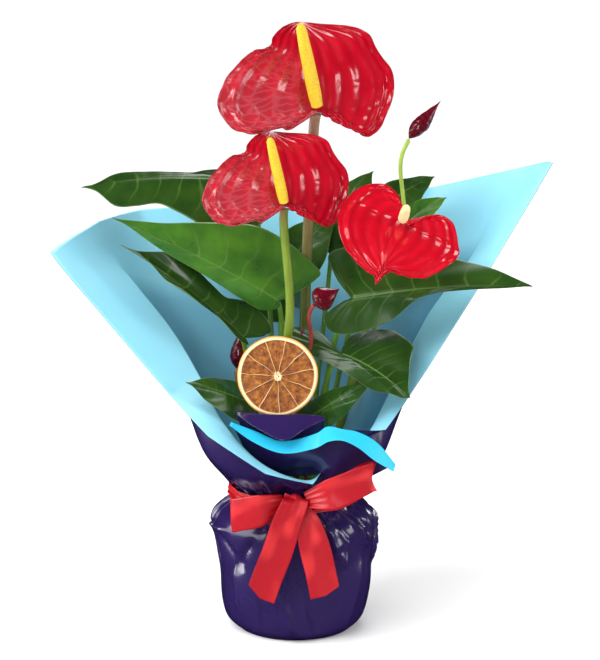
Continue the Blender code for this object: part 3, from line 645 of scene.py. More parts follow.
# puckers round the sides and back, running down from the tied neck
def scatteredCreases():
    draw = random.Random(4)
    found = []
    for index in range(wrap["puckers"]):
        bearing = 84 + index * 13.5 + draw.uniform(-4, 4)
        top = rim + draw.uniform(0.0, 0.016)
        drop = draw.uniform(0.022, 0.05)
        lean = draw.uniform(-9, 9)
        rise = draw.choice((-0.0028, 0.003, 0.0024))
        found.append((bearing, top, bearing + lean, top - drop, rise,
                      draw.uniform(0.001, 0.006), draw.uniform(0.001, 0.006)))
    for index in range(wrap["lowPuckers"]):
        bearing = 95 + index * 25 + draw.uniform(-6, 6)
        found.append((bearing, draw.uniform(0.045, 0.06), bearing + draw.uniform(-6, 6), 0.008,
                      draw.uniform(0.0008, 0.0016), 0.001, 0.012))
    return found


# pleats where the ribbon draws the film together
def gatherLift(bearing, height):
    turn = math.radians(bearing)
    drift = 0.45 * math.sin(3 * turn + 1.0) + 0.3 * math.sin(7 * turn + 2.0)
    wide, narrow = (bearing / 360 * count for count in wrap["pleats"])
    pleats = 0.6 * triangle(wide + drift) + 0.4 * triangle(narrow + 1.6 * drift + 0.3)
    away = height - neckHeight
    reach = wrap["gatherAbove"] if away > 0 else wrap["gatherBelow"]
    reach *= 1.0 + 0.5 * math.sin(5 * turn + 0.7)
    return wrap["gather"] * pleats * math.exp(-(away / reach) ** 2)


def makeOuterFilm(outside, inside):
    ribs = len(outerFolds)
    bearings = asPoints([fold[0] for fold in outerFolds] + [360])
    stations = [[atRim(*fold[1 + step]) for fold in outerFolds] for step in range(3)]
    softness = asPoints(fold[4] for fold in outerFolds)
    rings = [Vector((radius, 0, height)) for radius, height in sleeveRings()]
    creases = sleeveCreases + tuple(scatteredCreases())
    turns = [(crease, shift) for crease in creases for shift in (-360, 0, 360)]
    floorRows, sleeveRows, flareRows, foldRows, lapelRows = 5, 58, 40, 6, 18
    rows = floorRows + sleeveRows + flareRows + foldRows + lapelRows
    columns = ribs * wrap["ribsApart"]
    profiles = {}

    def sleevePoint(bearing, share):
        ring = smoothLine(rings, share)
        radius, height = ring.x, ring.z
        turn = math.radians(bearing)
        lift = gatherLift(bearing, height)
        near = [(c, s) for c, s in turns if abs(bearing - (c[0] + c[2]) / 2 - s) < 45]
        lift += sum(creaseLift(crease, bearing - shift, height) for crease, shift in near)
        lift += wrap["wander"] * noise.noise(
            Vector((math.sin(turn) * 2.2, math.cos(turn) * 2.2, height * 30)))
        lift *= fade(height, 0.0, 0.012)
        radius += max(lift * wrap["creaseScale"], wrap["deepest"])
        return Vector((-radius * math.sin(turn), -radius * math.cos(turn), height))

    def profile(column):
        place = column / wrap["ribsApart"]
        bearing = smoothLine(bearings, place / ribs).x
        middle, fold, edge = (roundLoop(station, place) for station in stations)
        edge = straightLoop(stations[2], place).lerp(edge, 0.2)     # cut straight, with sharp corners
        soft = roundLoop(softness, place).x
        turn = math.radians(bearing)
        outward = Vector((-math.sin(turn), -math.cos(turn), 0.0))
        opening = wrap["neckRadius"] + wrap["neckFlare"] - wrap["frontTuck"] * math.cos(turn)
        neck = outward * wrap["neckRadius"] + Vector((0, 0, neckHeight))
        mouth = outward * opening + Vector((0, 0, neckHeight + wrap["neckRise"]))
        below = outward * (wrap["neckRadius"] + 0.006) + Vector((0, 0, neckHeight - 0.008))
        before = fold + (middle - fold).normalized() * soft
        after = fold + (edge - fold).normalized() * min(soft, (edge - fold).length * 0.6)
        line = [below, neck, mouth, middle, before]
        found = [sleevePoint(bearing, 0.0) * (row / floorRows) for row in range(floorRows)]
        found += [sleevePoint(bearing, row / sleeveRows) for row in range(sleeveRows)]
        for row in range(flareRows):              # the line's first quarter lies in the sleeve
            point = smoothLine(line, 0.25 + 0.75 * (row / flareRows))
            found.append(point + outward * gatherLift(bearing, point.z))
        found += [roundCorner(before, fold, after, row / foldRows) for row in range(foldRows)]
        found += [after.lerp(edge, row / lapelRows) for row in range(lapelRows + 1)]
        return found

    def shape(u, v):
        column = round(u * columns) % columns
        if column not in profiles:
            profiles[column] = profile(column)
        return profiles[column][round(v * rows)]

    piece = shapedGrid("wrap_outer_film", columns, rows, shape)
    weld(piece)
    faceTowards(piece, Vector((0, 0, -1)))
    paint(piece, outside, inside)
    applyModifier(piece, "SOLIDIFY", thickness=wrap["film"], offset=-1.0, material_offset=1)
    finishPiece(piece, "film", "outer_film")
    print("outer film", len(piece.data.polygons))
    return piece


# film sheet folded over along its top, from a row of fold lines
def makeCollar(name, folds, outside, inside, node):
    lines = [[atRim(*point) for point in line] for line in folds]
    last = len(lines) - 1
    across, up, foldRows, down = last * 12, 26, 6, 12
    rows = up + foldRows + down
    soft = wrap["collarFold"]

    def shape(u, v):
        low, middle, top, edge = (smoothLine([line[step] for line in lines], u) for step in range(4))
        before = top + (middle - top).normalized() * soft
        after = top + (edge - top).normalized() * min(soft, (edge - top).length * 0.5)
        row = round(v * rows)
        if row <= up:
            return smoothLine([low, middle, before], row / up)
        if row <= up + foldRows:
            return roundCorner(before, top, after, (row - up) / foldRows)
        return after.lerp(edge, (row - up - foldRows) / down)

    piece = shapedGrid(name, across, rows, shape)
    faceTowards(piece, Vector((0, -1, 0)))
    paint(piece, outside, inside)
    applyModifier(piece, "SOLIDIFY", thickness=wrap["film"], offset=0.0, material_offset=1)
    finishPiece(piece, "film", node)
    return piece


ribbon = {"width": 0.025, "thick": 0.0005, "cupping": 0.0012, "pinch": 0.0016, "bandDepth": 0.0022,
          "bandFold": 0.0016, "bandRipple": 0.0004}
# centre lines: place to the right, distance in front of the film round the pot, height above
# the rim; then the width along them, the way the strip lies across, the slant of its cut end and
# the length it takes lying flat
strips = {
    "ribbon_left_loop": dict(
        centres=((-0.009, 0.004, 0.031), (-0.028, 0.01, 0.026), (-0.05, -0.002, 0.018),
                 (-0.05, -0.008, 0.017), (-0.03, 0.002, 0.022), (-0.009, 0.0, 0.028)),
        widths=(0.5, 1.0, 1.1, 1.1, 1.0, 0.5), lean=(0, 0, 1), flat=0.1, node="ribbon_loop_left"),
    "ribbon_right_loop": dict(
        centres=((0.009, 0.009, 0.034), (0.03, 0.025, 0.044), (0.058, 0.0228, 0.056),
                 (0.059, 0.0168, 0.055), (0.032, 0.018, 0.041), (0.009, 0.005, 0.031)),
        widths=(0.5, 1.0, 1.0, 1.0, 1.0, 0.5), lean=(0.2, 0, 1), flat=0.12, node="ribbon_loop_right"),
    "ribbon_right_tail": dict(
        centres=((0.005, 0.008, 0.026), (0.01, 0.01, 0.016), (0.016, 0.009, -0.006),
                 (0.021, 0.0075, -0.028), (0.025, 0.007, -0.048)),
        widths=(0.45, 0.8, 1.0, 1.0, 1.0), lean=(1, 0, -0.1), cut=-0.16, flat=0.085,
        node="ribbon_tail_right"),
    "ribbon_left_tail": dict(
        centres=((0.002, 0.008, 0.036), (-0.001, 0.0125, 0.03), (-0.007, 0.012, 0.015),
                 (-0.014, 0.0095, -0.008), (-0.022, 0.0075, -0.03), (-0.029, 0.007, -0.05)),
        widths=(0.85, 0.85, 0.95, 1.0, 1.0, 1.0), lean=(1, 0, 0.1), cut=0.16, flat=0.105,
        node="ribbon_tail_left"),
}


def makeStrip(name, strip, satin):
    sleeve = potRadius + wrap["slack"]
    line = [atRim(x, -sleeve - ahead, z) for x, ahead, z in strip["centres"]]
    wide = asPoints(strip["widths"])
    leaning = Vector(strip["lean"])
    cut = strip.get("cut", 0.0)

    def shape(u, v):
        side = v - 0.5
        share = min(u * (1.0 + cut * side), 1.0)  # a slanting cut for the tails
        middle = smoothLine(line, share)
        ahead = smoothLine(line, share + 0.01) - smoothLine(line, share - 0.01)
        across = leaning - ahead * (leaning.dot(ahead) / ahead.dot(ahead))
        across.normalize()
        face = ahead.cross(across).normalized()
        width = ribbon["width"] * smoothLine(wide, share).x
        pinch = max(0.0, 1.0 - width / ribbon["width"])
        lift = ribbon["cupping"] * (4 * side * side) + pinch * ribbon["pinch"] * math.sin(side * 26)
        return middle + across * (side * width) + face * lift

    piece = shapedGrid(name, 90, 16, shape)
    applyModifier(piece, "SOLIDIFY", thickness=ribbon["thick"], offset=0.0)
    paint(piece, satin)
    finishPiece(piece, "ribbon", strip["node"])
    return piece


# ribbon drawn tight round the neck, crumpled into folds
def makeBand(satin):
    outer = bandHigh[0]
    inner = outer - ribbon["bandDepth"]

    def shape(u, v):
        turn = math.tau * u
        lift = (ribbon["bandFold"] * triangle(v * 2.4 + 0.3 * math.sin(3 * turn))
                + ribbon["bandRipple"] * math.sin(17 * turn + 4 * v))
        radius = inner + 0.0006 + lift
        height = bandLow[2] + (bandHigh[2] - bandLow[2]) * v
        return Vector((-radius * math.sin(turn), -radius * math.cos(turn), height))

    piece = shapedGrid("ribbon_neck_band", 220, 18, shape)
    weld(piece)
    applyModifier(piece, "SOLIDIFY", thickness=ribbon["thick"], offset=1.0)
    paint(piece, satin)
    finishPiece(piece, "ribbon", "ribbon_band")
    return piece


def makeKnot(satin):
    low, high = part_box("ribbon_knot")
    centre = (Vector(low) + Vector(high)) / 2
    half = (Vector(high) - Vector(low)) / 2
    deselectAll()
    bpy.ops.mesh.primitive_uv_sphere_add(segments=48, ring_count=28, radius=1.0, location=(0, 0, 0))
    knot = named("ribbon_knot_wrap")
    for vertex in knot.data.vertices:
        x, y, z = vertex.co
        fold = 1.0 + 0.06 * triangle(x * 2.6 + 0.4 * z) + 0.04 * math.sin(9 * z + 3 * x)
        vertex.co = centre + Vector((x * half.x * fold, y * half.y * fold, z * half.z * 0.9))
    paint(knot, satin)
    return finishPiece(knot, "ribbon", "ribbon_knot")


# half outlines from the sinus round the lobe to the tip, as shares of length and of half width
leafOutline = ((-0.1, 0.06), (-0.22, 0.16), (-0.29, 0.38), (-0.24, 0.68), (-0.08, 0.95), (0.15, 1.0),
               (0.38, 0.9), (0.6, 0.66), (0.8, 0.34), (0.93, 0.09), (1.0, 0.0))
spatheLeft = ((0.0, 0.05), (-0.12, 0.2), (-0.18, 0.32), (-0.16, 0.42), (-0.21, 0.62), (-0.2, 0.78),
              (-0.12, 0.9), (0.08, 1.0), (0.27, 0.94), (0.42, 0.82), (0.56, 0.68), (0.64, 0.57),
              (0.655, 0.47), (0.7, 0.4), (0.82, 0.34), (0.93, 0.22), (1.0, 0.09), (1.02, 0.0))
spatheRight = ((0.0, 0.06), (-0.03, 0.24), (-0.11, 0.38), (-0.22, 0.5), (-0.28, 0.63), (-0.23, 0.77),
               (-0.1, 0.87), (0.08, 0.97), (0.25, 1.0), (0.38, 0.98), (0.51, 0.89), (0.63, 0.82),
               (0.77, 0.77), (0.88, 0.62), (0.96, 0.4), (1.01, 0.16), (1.02, 0.0))
heartRight = ((0.04, 0.04), (-0.04, 0.14), (-0.2, 0.32), (-0.29, 0.5), (-0.24, 0.72), (-0.05, 0.9),
              (0.14, 1.0), (0.34, 0.98), (0.56, 0.86), (0.74, 0.7), (0.83, 0.5), (0.87, 0.3),
              (0.88, 0.14), (0.98, 0.05), (1.12, 0.0))
heartLeft = ((0.04, 0.04), (-0.14, 0.12), (-0.32, 0.32), (-0.37, 0.55), (-0.28, 0.8), (-0.08, 0.96),
             (0.18, 1.0), (0.44, 0.97), (0.66, 0.85), (0.83, 0.68), (0.93, 0.46), (0.99, 0.24),
             (1.01, 0.08), (1.06, 0.02), (1.12, 0.0))
backLeftLow = ((-0.06, 0.05), (-0.16, 0.3), (-0.2, 0.6), (-0.1, 0.88), (0.06, 0.98), (0.24, 0.96),
               (0.4, 0.72), (0.52, 0.5), (0.66, 0.5), (0.8, 0.46), (0.92, 0.16), (1.0, 0.0))
backLeftHigh = ((-0.06, 0.05), (-0.18, 0.3), (-0.2, 0.6), (-0.1, 0.9), (0.05, 1.0), (0.2, 0.9),
                (0.3, 0.6), (0.46, 0.72), (0.62, 0.8), (0.78, 0.56), (0.9, 0.26), (1.0, 0.0))
leftHigh = ((-0.02, 0.04), (-0.08, 0.3), (-0.14, 0.6), (-0.16, 0.8), (-0.05, 0.91), (0.06, 0.98),
            (0.26, 0.98), (0.42, 0.78), (0.58, 0.52), (0.72, 0.3), (0.86, 0.14), (0.95, 0.04),
            (1.0, 0.0))
leftLowUpper = ((-0.03, 0.08), (-0.06, 0.36), (-0.12, 0.7), (-0.08, 0.92), (0.08, 1.0), (0.18, 0.84),
                (0.26, 0.66), (0.38, 0.72), (0.5, 0.78), (0.66, 0.7), (0.8, 0.4), (0.92, 0.12),
                (1.0, 0.0))
leftLowUnder = ((-0.03, 0.1), (-0.05, 0.4), (0.02, 0.6), (0.14, 0.5), (0.26, 0.4), (0.36, 0.85),
                (0.46, 1.0), (0.58, 0.7), (0.72, 0.36), (0.88, 0.12), (1.0, 0.0))
rightHighSide = ((-0.02, 0.05), (-0.08, 0.38), (-0.14, 0.68), (-0.15, 0.88), (-0.09, 1.0), (0.04, 1.0),
                 (0.2, 0.9), (0.38, 0.74), (0.56, 0.54), (0.77, 0.31), (0.9, 0.12), (1.0, 0.0))
rightLowSide = ((-0.05, 0.05), (-0.12, 0.25), (-0.17, 0.45), (-0.15, 0.8), (-0.07, 1.0), (0.07, 0.97),
                (0.21, 0.76), (0.34, 0.36), (0.46, 0.16), (0.64, 0.1), (0.84, 0.07), (1.0, 0.0))
droopRight = ((-0.02, 0.05), (-0.08, 0.3), (-0.07, 0.55), (0.05, 0.82), (0.23, 1.0), (0.42, 0.98),
              (0.6, 0.92), (0.64, 0.8), (0.7, 0.62), (0.82, 0.33), (0.92, 0.1), (1.0, 0.0))
droopLeft = ((-0.03, -0.1), (-0.22, -0.6), (-0.46, -1.0), (-0.66, -0.6), (-0.72, 0.1), (-0.62, 0.75),
             (-0.3, 0.9), (-0.04, 0.95), (0.25, 1.0), (0.6, 1.0), (0.86, 0.5), (1.0, 0.0))
leftLow = ((-0.01, 0.05), (-0.02, 0.4), (0.02, 0.8), (0.1, 1.0), (0.35, 0.9), (0.6, 0.7), (0.8, 0.4),
           (0.93, 0.12), (1.0, 0.0))

# blades: attachment and tip above the rim, where the upper face looks, half widths on its two
# sides, length of the lobes, then shares of the length: arch, fold, wave; tone
# makes the green lighter or darker as painted light and shade on each leaf
usualBlade = {"outlines": (leafOutline, leafOutline), "lobes": 1.0, "arch": 0.05, "fold": -0.1,
              "wave": 0.02, "lobeBow": 1.5}
blades = {
    "back_left": dict(attach=(-0.048, 0.035, 0.28), tip=(-0.177, 0.02, 0.276),
                      looks=(0.0, -0.55, 0.83), widths=(0.05, 0.024),
                      outlines=(backLeftLow, backLeftHigh), tone=0.7),
    "left": dict(attach=(-0.014, -0.02, 0.188), tip=(-0.148, -0.028, 0.258), looks=(0.15, -0.84, 0.54),
                 widths=(0.009, 0.053), outlines=(leftLow, leftHigh), fold=-0.04, wave=0.01, tone=2.0,
                 under=-0.1),
    "left_low": dict(attach=(-0.042, -0.018, 0.157), tip=(-0.143, -0.01, 0.233),
                     looks=(0.2, -0.7, 0.7), widths=(0.01, 0.024),
                     outlines=(leftLowUnder, leftLowUpper), arch=0.06, fold=0.04, wave=0.03,
                     tone=0.65),
    "front_left": dict(attach=(-0.042, -0.04, 0.109), tip=(-0.088, -0.062, 0.129),
                       looks=(0.0, -0.75, 0.66), widths=(0.017, 0.017), tone=0.8),
    "right": dict(attach=(0.047, -0.025, 0.191), tip=(0.192, -0.045, 0.205), looks=(0.0, -0.8, 0.6),
                  widths=(0.056, 0.026), outlines=(rightHighSide, rightLowSide), arch=0.06, tone=0.8),
    "right_low": dict(attach=(0.038, -0.036, 0.147), tip=(0.093, -0.066, 0.117),
                      looks=(0.1, -0.7, 0.7), widths=(0.046, 0.012), outlines=(droopRight, droopLeft),
                      arch=0.1, tone=0.7),
    "back_mid": dict(attach=(0.03, 0.056, 0.235), tip=(0.066, 0.064, 0.283), looks=(0.0, -0.6, 0.8),
                     widths=(0.024, 0.024), arch=0.06, tone=1.2),
    "back_right": dict(attach=(0.07, 0.058, 0.248), tip=(0.118, 0.066, 0.278),
                       looks=(-0.1, -0.5, 0.86), widths=(0.028, 0.026), arch=0.08, tone=0.9),
    "right_high": dict(attach=(0.09, 0.02, 0.243), tip=(0.124, -0.004, 0.271),
                       looks=(0.0, -0.75, 0.66), widths=(0.016, 0.016), arch=0.06, fold=-0.08,
                       tone=1.6),
    "front_right": dict(attach=(0.012, -0.044, 0.096), tip=(0.064, -0.046, 0.127),
                        looks=(0.1, -0.8, 0.58), widths=(0.013, 0.015), lobes=0.7, tone=1.0),
    "centre": dict(attach=(-0.006, 0.04, 0.208), tip=(0.034, 0.048, 0.25), looks=(0.0, -0.6, 0.8),
                   widths=(0.026, 0.026), fold=-0.08, tone=0.9),
    "rear": dict(attach=(-0.012, 0.07, 0.175), tip=(-0.062, 0.088, 0.22), looks=(0.0, -0.3, 0.95),
                 widths=(0.03, 0.03), arch=0.08, tone=0.9),
}
spathes = {
    "top": dict(attach=(0.018, -0.002, 0.342), tip=(0.006, 0.036, 0.41), looks=(0.28, -0.9, 0.42),
                widths=(0.084, 0.066), outlines=(spatheLeft, spatheRight), arch=0.16, fold=0.04,
                wave=0.03),
    "middle": dict(attach=(-0.008, -0.047, 0.271), tip=(-0.019, -0.014, 0.326),
                   looks=(0.3, -0.9, 0.42), widths=(0.069, 0.054), outlines=(spatheLeft, spatheRight),
                   arch=0.16, fold=0.05, wave=0.03),
    "right": dict(attach=(0.087, -0.064, 0.26), tip=(0.066, -0.094, 0.222), looks=(0.1, -0.8, 0.6),
                  widths=(0.05, 0.05), outlines=(heartRight, heartLeft), lobes=1.3, arch=0.14,
                  fold=0.02, wave=0.02, lobeBow=0.5),
}


def bladeFrame(blade):
    start, end = atRim(*blade["attach"]), atRim(*blade["tip"])
    along = (end - start).normalized()
    face = Vector(blade["looks"])
    face = (face - along * face.dot(along)).normalized()
    return start, (end - start).length, along, face, face.cross(along)


def bladeShape(blade, relief):
    blade = {**usualBlade, **blade}
    start, length, along, face, across = bladeFrame(blade)
    rims = [[Vector((u, v, 0)) for u, v in outline] for outline in blade["outlines"]]
    midribFrom = 0.3

    def shape(s, v):                              # s runs from the sinus to the tip
        side = 2.0 * v - 1.0
        half, sign = (0, 1) if side >= 0 else (1, -1)
        edge = smoothLine(rims[half], s)
        rib = max(0.0, (s - midribFrom) / (1.0 - midribFrom)) ** 1.15
        out = abs(side)
        sweep = 0.1 * math.sin(math.pi * s) * out * (1.0 - out)
        u = rib + (edge.x - rib) * out - sweep
        w = edge.y * out
        fold = blade["fold"] if half else blade.get("under", blade["fold"])
        if u < 0:
            u *= blade["lobes"]
        ripple = blade["wave"] * math.hypot(u, w) ** 2 * math.sin(7.0 * math.atan2(w * sign, u))
        bow = 4.0 * u * (1.0 - u) if u > 0 else blade["lobeBow"] * u
        rise = blade["arch"] * bow + fold * abs(w) ** 1.3 + ripple
        lift = rise * length + relief(s, out, length)
        aside = w * blade["widths"][half] * sign
        return start + along * (u * length) + across * aside + face * lift

    return shape


# depths as shares of the blade's length, and the blade's thickness in metres
leafForm = {"swell": 0.01, "groove": 0.006, "grooveWidth": 0.03, "thick": 0.0006}
spatheForm = {"veins": 4.4, "depth": 0.007, "unevenness": 0.006, "rimVein": 0.02, "rimVeinAt": 0.84,
              "rimGroove": 0.018, "rimGrooveAt": 0.92, "ribs": 13.0, "ribHeight": 0.006,
              "wrinkle": 0.01, "thick": 0.001}


# midrib and side veins pressed into the blade, with the tissue between them a little swollen
def leafRelief(s, out, length):
    vein = abs(math.sin(math.pi * (s * leafLook["veins"])))
    swell = leafForm["swell"] * vein * out * (1.0 - out) * fade(1.0 - s, 0.0, 0.15)
    groove = leafForm["groove"] * math.exp(-out / leafForm["grooveWidth"])
    return (swell - groove) * length


# deep curved veins running out to the tip, cross ribs, and the vein inside the margin
def spatheRelief(s, out, length):
    fall = fade(1.0 - s, 0.0, 0.12)
    unevenness = noise.noise(Vector((s * 3.0, out * 3.0, 2.0)))
    depth = spatheForm["depth"] + spatheForm["unevenness"] * unevenness
    lift = (depth * math.cos(math.tau * out * spatheForm["veins"])
            * fade(out, 0.03, 0.15) * (1.0 - fade(out, 0.7, 0.86)))
    lift += (spatheForm["rimVein"] * math.exp(-((out - spatheForm["rimVeinAt"]) / 0.035) ** 2)
             - spatheForm["rimGroove"] * math.exp(-((out - spatheForm["rimGrooveAt"]) / 0.04) ** 2))
    ribs = math.sin(math.tau * s * spatheForm["ribs"] + 2.0 * out)
    lift += spatheForm["ribHeight"] * ribs * fade(out, 0.84, 0.93) * (1.0 - fade(out, 0.97, 1.0))
    fine = noise.noise(Vector((s * 30.0, out * 5.0, 4.0)))
    lift += spatheForm["wrinkle"] * fine * fade(out, 0.2, 0.5) * (1.0 - fade(s, 0.35, 0.65))
    broad = noise.noise(Vector((s * 9.0, out * 4.0, 9.0)))
    lift += spatheForm["wrinkle"] * broad * fade(out, 0.1, 0.4)
    return lift * fall * length


def makeBlade(name, blade, relief, thickness, slotName, material, node, cells=(84, 56)):
    piece = shapedGrid(name, *cells, bladeShape(blade, relief))
    weld(piece, 2e-5)
    faceTowards(piece, bladeFrame(blade)[3])
    applyModifier(piece, "SOLIDIFY", thickness=thickness, offset=-1.0)
    paint(piece, material)
    return finishPiece(piece, slotName, node)


spadices = {
    "top": dict(base=(0.0182, -0.0085, 0.345), tip=(0.004, -0.02, 0.414), radius=0.0054),
    "middle": dict(base=(-0.0085, -0.053, 0.2735), tip=(-0.02, -0.064, 0.328), radius=0.0043),
    "right": dict(base=(0.0852, -0.071, 0.263), tip=(0.088, -0.087, 0.277), radius=0.004),
}


def makeSpadix(name, spadix, material, node):
    start, end = atRim(*spadix["base"]), atRim(*spadix["tip"])
    along, length, side, front = axisOf(start, end)
    bead, swelling = 0.00115, 0.085               # size of a bead, and how far it bulges
    around = round(math.tau * spadix["radius"] / bead)
    rows = round(length / (bead * 0.86))
    taper = asPoints((0.8, 0.96, 1.0, 0.99, 0.97, 0.93, 0.87, 0.78, 0.64))

    def shape(u, v):
        turn = math.tau * u
        height = v * length
        radius = spadix["radius"] * smoothLine(taper, v).x
        near = (length - height) / (spadix["radius"] * 0.9)
        if near < 1.0:
            radius *= math.sqrt(max(0.0, 1.0 - (1.0 - near) ** 2))
        if v < 0.02:
            radius *= math.sqrt(v / 0.02)
        cell = v * rows
        shift = 0.5 * (math.floor(cell) % 2)
        bump = abs(math.sin(math.pi * (u * around + shift))) * abs(math.sin(math.pi * cell))
        radius *= 1.0 + swelling * (bump - 0.5)
        return start + along * height + (side * math.cos(turn) + front * math.sin(turn)) * radius

    piece = shapedGrid(name, around * 4, min(rows * 4, 260), shape)
    weld(piece)
    paint(piece, material)
    return finishPiece(piece, "spadix", node)


# stalks: where they stand on the soil, radii at foot and head, the way they arrive, the points
# they pass, and a finish other than the usual
stalks = {
    "petiole_back_left": dict(foot=(-0.02, 0.018), radii=(0.0024, 0.002)),
    "petiole_left": dict(foot=(-0.017, -0.004), radii=(0.0027, 0.002)),
    "petiole_left_low": dict(foot=(-0.024, 0.0), radii=(0.0024, 0.0018)),
    "petiole_front_left": dict(foot=(-0.019, -0.018), radii=(0.0018, 0.0014)),
    "petiole_right": dict(foot=(0.018, -0.006), radii=(0.0028, 0.0022)),
    "petiole_right_low": dict(foot=(0.014, -0.02), radii=(0.0024, 0.0018)),
    "petiole_back_mid": dict(foot=(0.012, 0.026), radii=(0.0022, 0.0018)),
    "petiole_back_right": dict(foot=(0.022, 0.02), radii=(0.0024, 0.0018)),
    "petiole_right_high": dict(foot=(0.029, 0.013), radii=(0.002, 0.0016), by=((0.07, 0.036, 0.19),)),
    "petiole_front_right": dict(foot=(0.004, -0.029), radii=(0.0018, 0.0014)),
    "petiole_centre": dict(foot=(-0.003, 0.016), radii=(0.0022, 0.0018)),
    "petiole_rear": dict(foot=(-0.008, 0.027), radii=(0.0022, 0.0018)),
    "stem_top": dict(foot=(0.006, 0.005), radii=(0.0046, 0.0042), arrival=(0.1, -0.3, 1.0),
                     by=((0.009, 0.02, 0.2),), finish="tall flower stalk"),
    "stem_middle": dict(foot=(-0.007, -0.015), radii=(0.004, 0.0034), arrival=(0.0, -0.1, 1.0),
                        by=((-0.008, -0.034, 0.135), (-0.004, -0.045, 0.19))),
    "stem_right": dict(foot=(0.027, -0.01), radii=(0.0036, 0.003), arrival=(0.05, -0.85, 0.5),
                       by=((0.059, 0.01, 0.16), (0.079, 0.017, 0.241))),
    "bud_high_stem": dict(foot=(0.03, 0.003), radii=(0.0018, 0.0017), arrival=(0.3, 0.0, 1.0),
                          by=((0.074, 0.018, 0.18), (0.09, 0.006, 0.24))),
    "bud_young_stem": dict(foot=(0.008, -0.017), radii=(0.002, 0.0016), arrival=(0.3, -0.5, 1.0),
                           by=((0.013, -0.022, 0.145),), finish="red bud stalk"),
    "bud_left_stem": dict(foot=(-0.03, 0.009), radii=(0.0022, 0.002), arrival=(0.0, 0.0, 1.0)),
    "bud_sheath_stem": dict(foot=(0.001, -0.005), radii=(0.0022, 0.002), arrival=(0.1, -0.1, 1.0)),
}


# how far a stalk goes straight up and straight in, as shares of its reach, freely and by way of
# its points; swellings at its head and foot, as shares of its radius, and how far they run
stalkForm = {"steps": 60, "rise": 0.42, "entry": 0.25, "riseByWay": 0.16, "entryByWay": 0.07,
             "petioleSwelling": 0.22, "swelling": 0.1, "swellingReach": 0.006,
             "footSwelling": 0.3, "footReach": 0.008}


# centre line of a stalk, from the soil to the back of what it carries
def stalkLine(name, stalk):
    kind, rest = name.split("_", 1)
    thick = stalk["radii"][1]
    if kind == "bud":
        head = atRim(*buds[rest.removesuffix("_stem")]["base"])
    else:
        blade = (blades if kind == "petiole" else spathes)[rest]
        start, length, along, face, across = bladeFrame(blade)
        head = start - face * (thick * 0.7 + 0.0006)
    arrival = Vector(stalk["arrival"]) if "arrival" in stalk else face + along * 0.6
    arrival.normalize()
    foot = Vector((*stalk["foot"], soilTop - 0.001))
    reach = (head - foot).length
    shares = [step / stalkForm["steps"] for step in range(stalkForm["steps"] + 1)]
    if "by" in stalk:
        way = [foot, foot + Vector((0, 0, stalkForm["riseByWay"] * reach)),
               *(atRim(*point) for point in stalk["by"]),
               head - arrival * (stalkForm["entryByWay"] * reach), head]
        return [smoothLine(way, share) for share in shares]
    up = foot + Vector((0, 0, stalkForm["rise"] * reach))
    back = head - arrival * (stalkForm["entry"] * reach)
    line = []
    for t in shares:
        line.append(foot * (1 - t) ** 3 + up * (3 * t * (1 - t) ** 2)
                    + back * (3 * t * t * (1 - t)) + head * t ** 3)
    return line


def makeStalk(name, stalk, slotName, material):
    line = stalkLine(name, stalk)
    last = len(line) - 1
    foot, head = stalk["radii"]
    swelling = stalkForm["petioleSwelling" if name.startswith("petiole") else "swelling"]
    turning = []
    side = Vector((1, 0, 0))
    for step in range(len(line)):
        ahead = (line[min(step + 1, last)] - line[max(step - 1, 0)]).normalized()
        side = (side - ahead * side.dot(ahead)).normalized()
        turning.append((side.copy(), ahead.cross(side)))
    length = sum((b - a).length for a, b in zip(line, line[1:]))

    def shape(u, v):
        step = round(v * last)
        if step in (0, last):
            return line[step].copy()
        share = step / last
        radius = foot + (head - foot) * share
        near = stalkForm["swellingReach"]
        radius *= 1.0 + swelling * math.exp(-(((1.0 - share) * length - near) / near) ** 2)
        radius *= 1.0 + stalkForm["footSwelling"] * math.exp(-share * length / stalkForm["footReach"])
        one, two = turning[step]
        turn = math.tau * u
        return line[step] + (one * math.cos(turn) + two * math.sin(turn)) * radius

    piece = shapedGrid(f"{name}_round", 20, last, shape)
    weld(piece, 1e-6)
    paint(piece, material)
    return finishPiece(piece, slotName, name)


buds = {
    "high": dict(base=(0.093, 0.0, 0.319), tip=(0.1187, 0.0, 0.35), radius=0.0066, turns=1.3),
    "young": dict(base=(0.015, -0.046, 0.19), tip=(0.036, -0.052, 0.204), radius=0.01, turns=0.6),
    "left": dict(base=(-0.049, 0.01, 0.124), tip=(-0.044, 0.01, 0.162), radius=0.007, turns=1.0),
    "sheath": dict(base=(0.004, -0.013, 0.14), tip=(0.006, -0.014, 0.167), radius=0.0034, turns=0.8),
}


# young spathe still rolled round its spadix, with the loose edge winding up it
def makeBud(name, bud, material, node):
    start, end = atRim(*bud["base"]), atRim(*bud["tip"])
    along, length, side, front = axisOf(start, end)
    girth = asPoints((0.06, 0.55, 0.88, 1.0, 0.98, 0.88, 0.72, 0.52, 0.3, 0.12, 0.01))

    def shape(u, v):
        turn = math.tau * u
        seam = u - bud["turns"] * v
        seam -= math.floor(seam)
        radius = bud["radius"] * smoothLine(girth, v).x
        radius *= 0.9 + 0.16 * seam ** 1.5 + 0.03 * abs(math.sin(math.pi * seam * 6))
        return start + along * (v * length) + (side * math.cos(turn) + front * math.sin(turn)) * radius

    piece = shapedGrid(name, 72, 60, shape)
    weld(piece)
    paint(piece, material)
    return finishPiece(piece, "bud", node)


peat = {"foot": 0.014, "gap": 0.0006, "rings": 26, "ringWidth": 0.0019, "drop": 0.0012, "dish": 0.002}


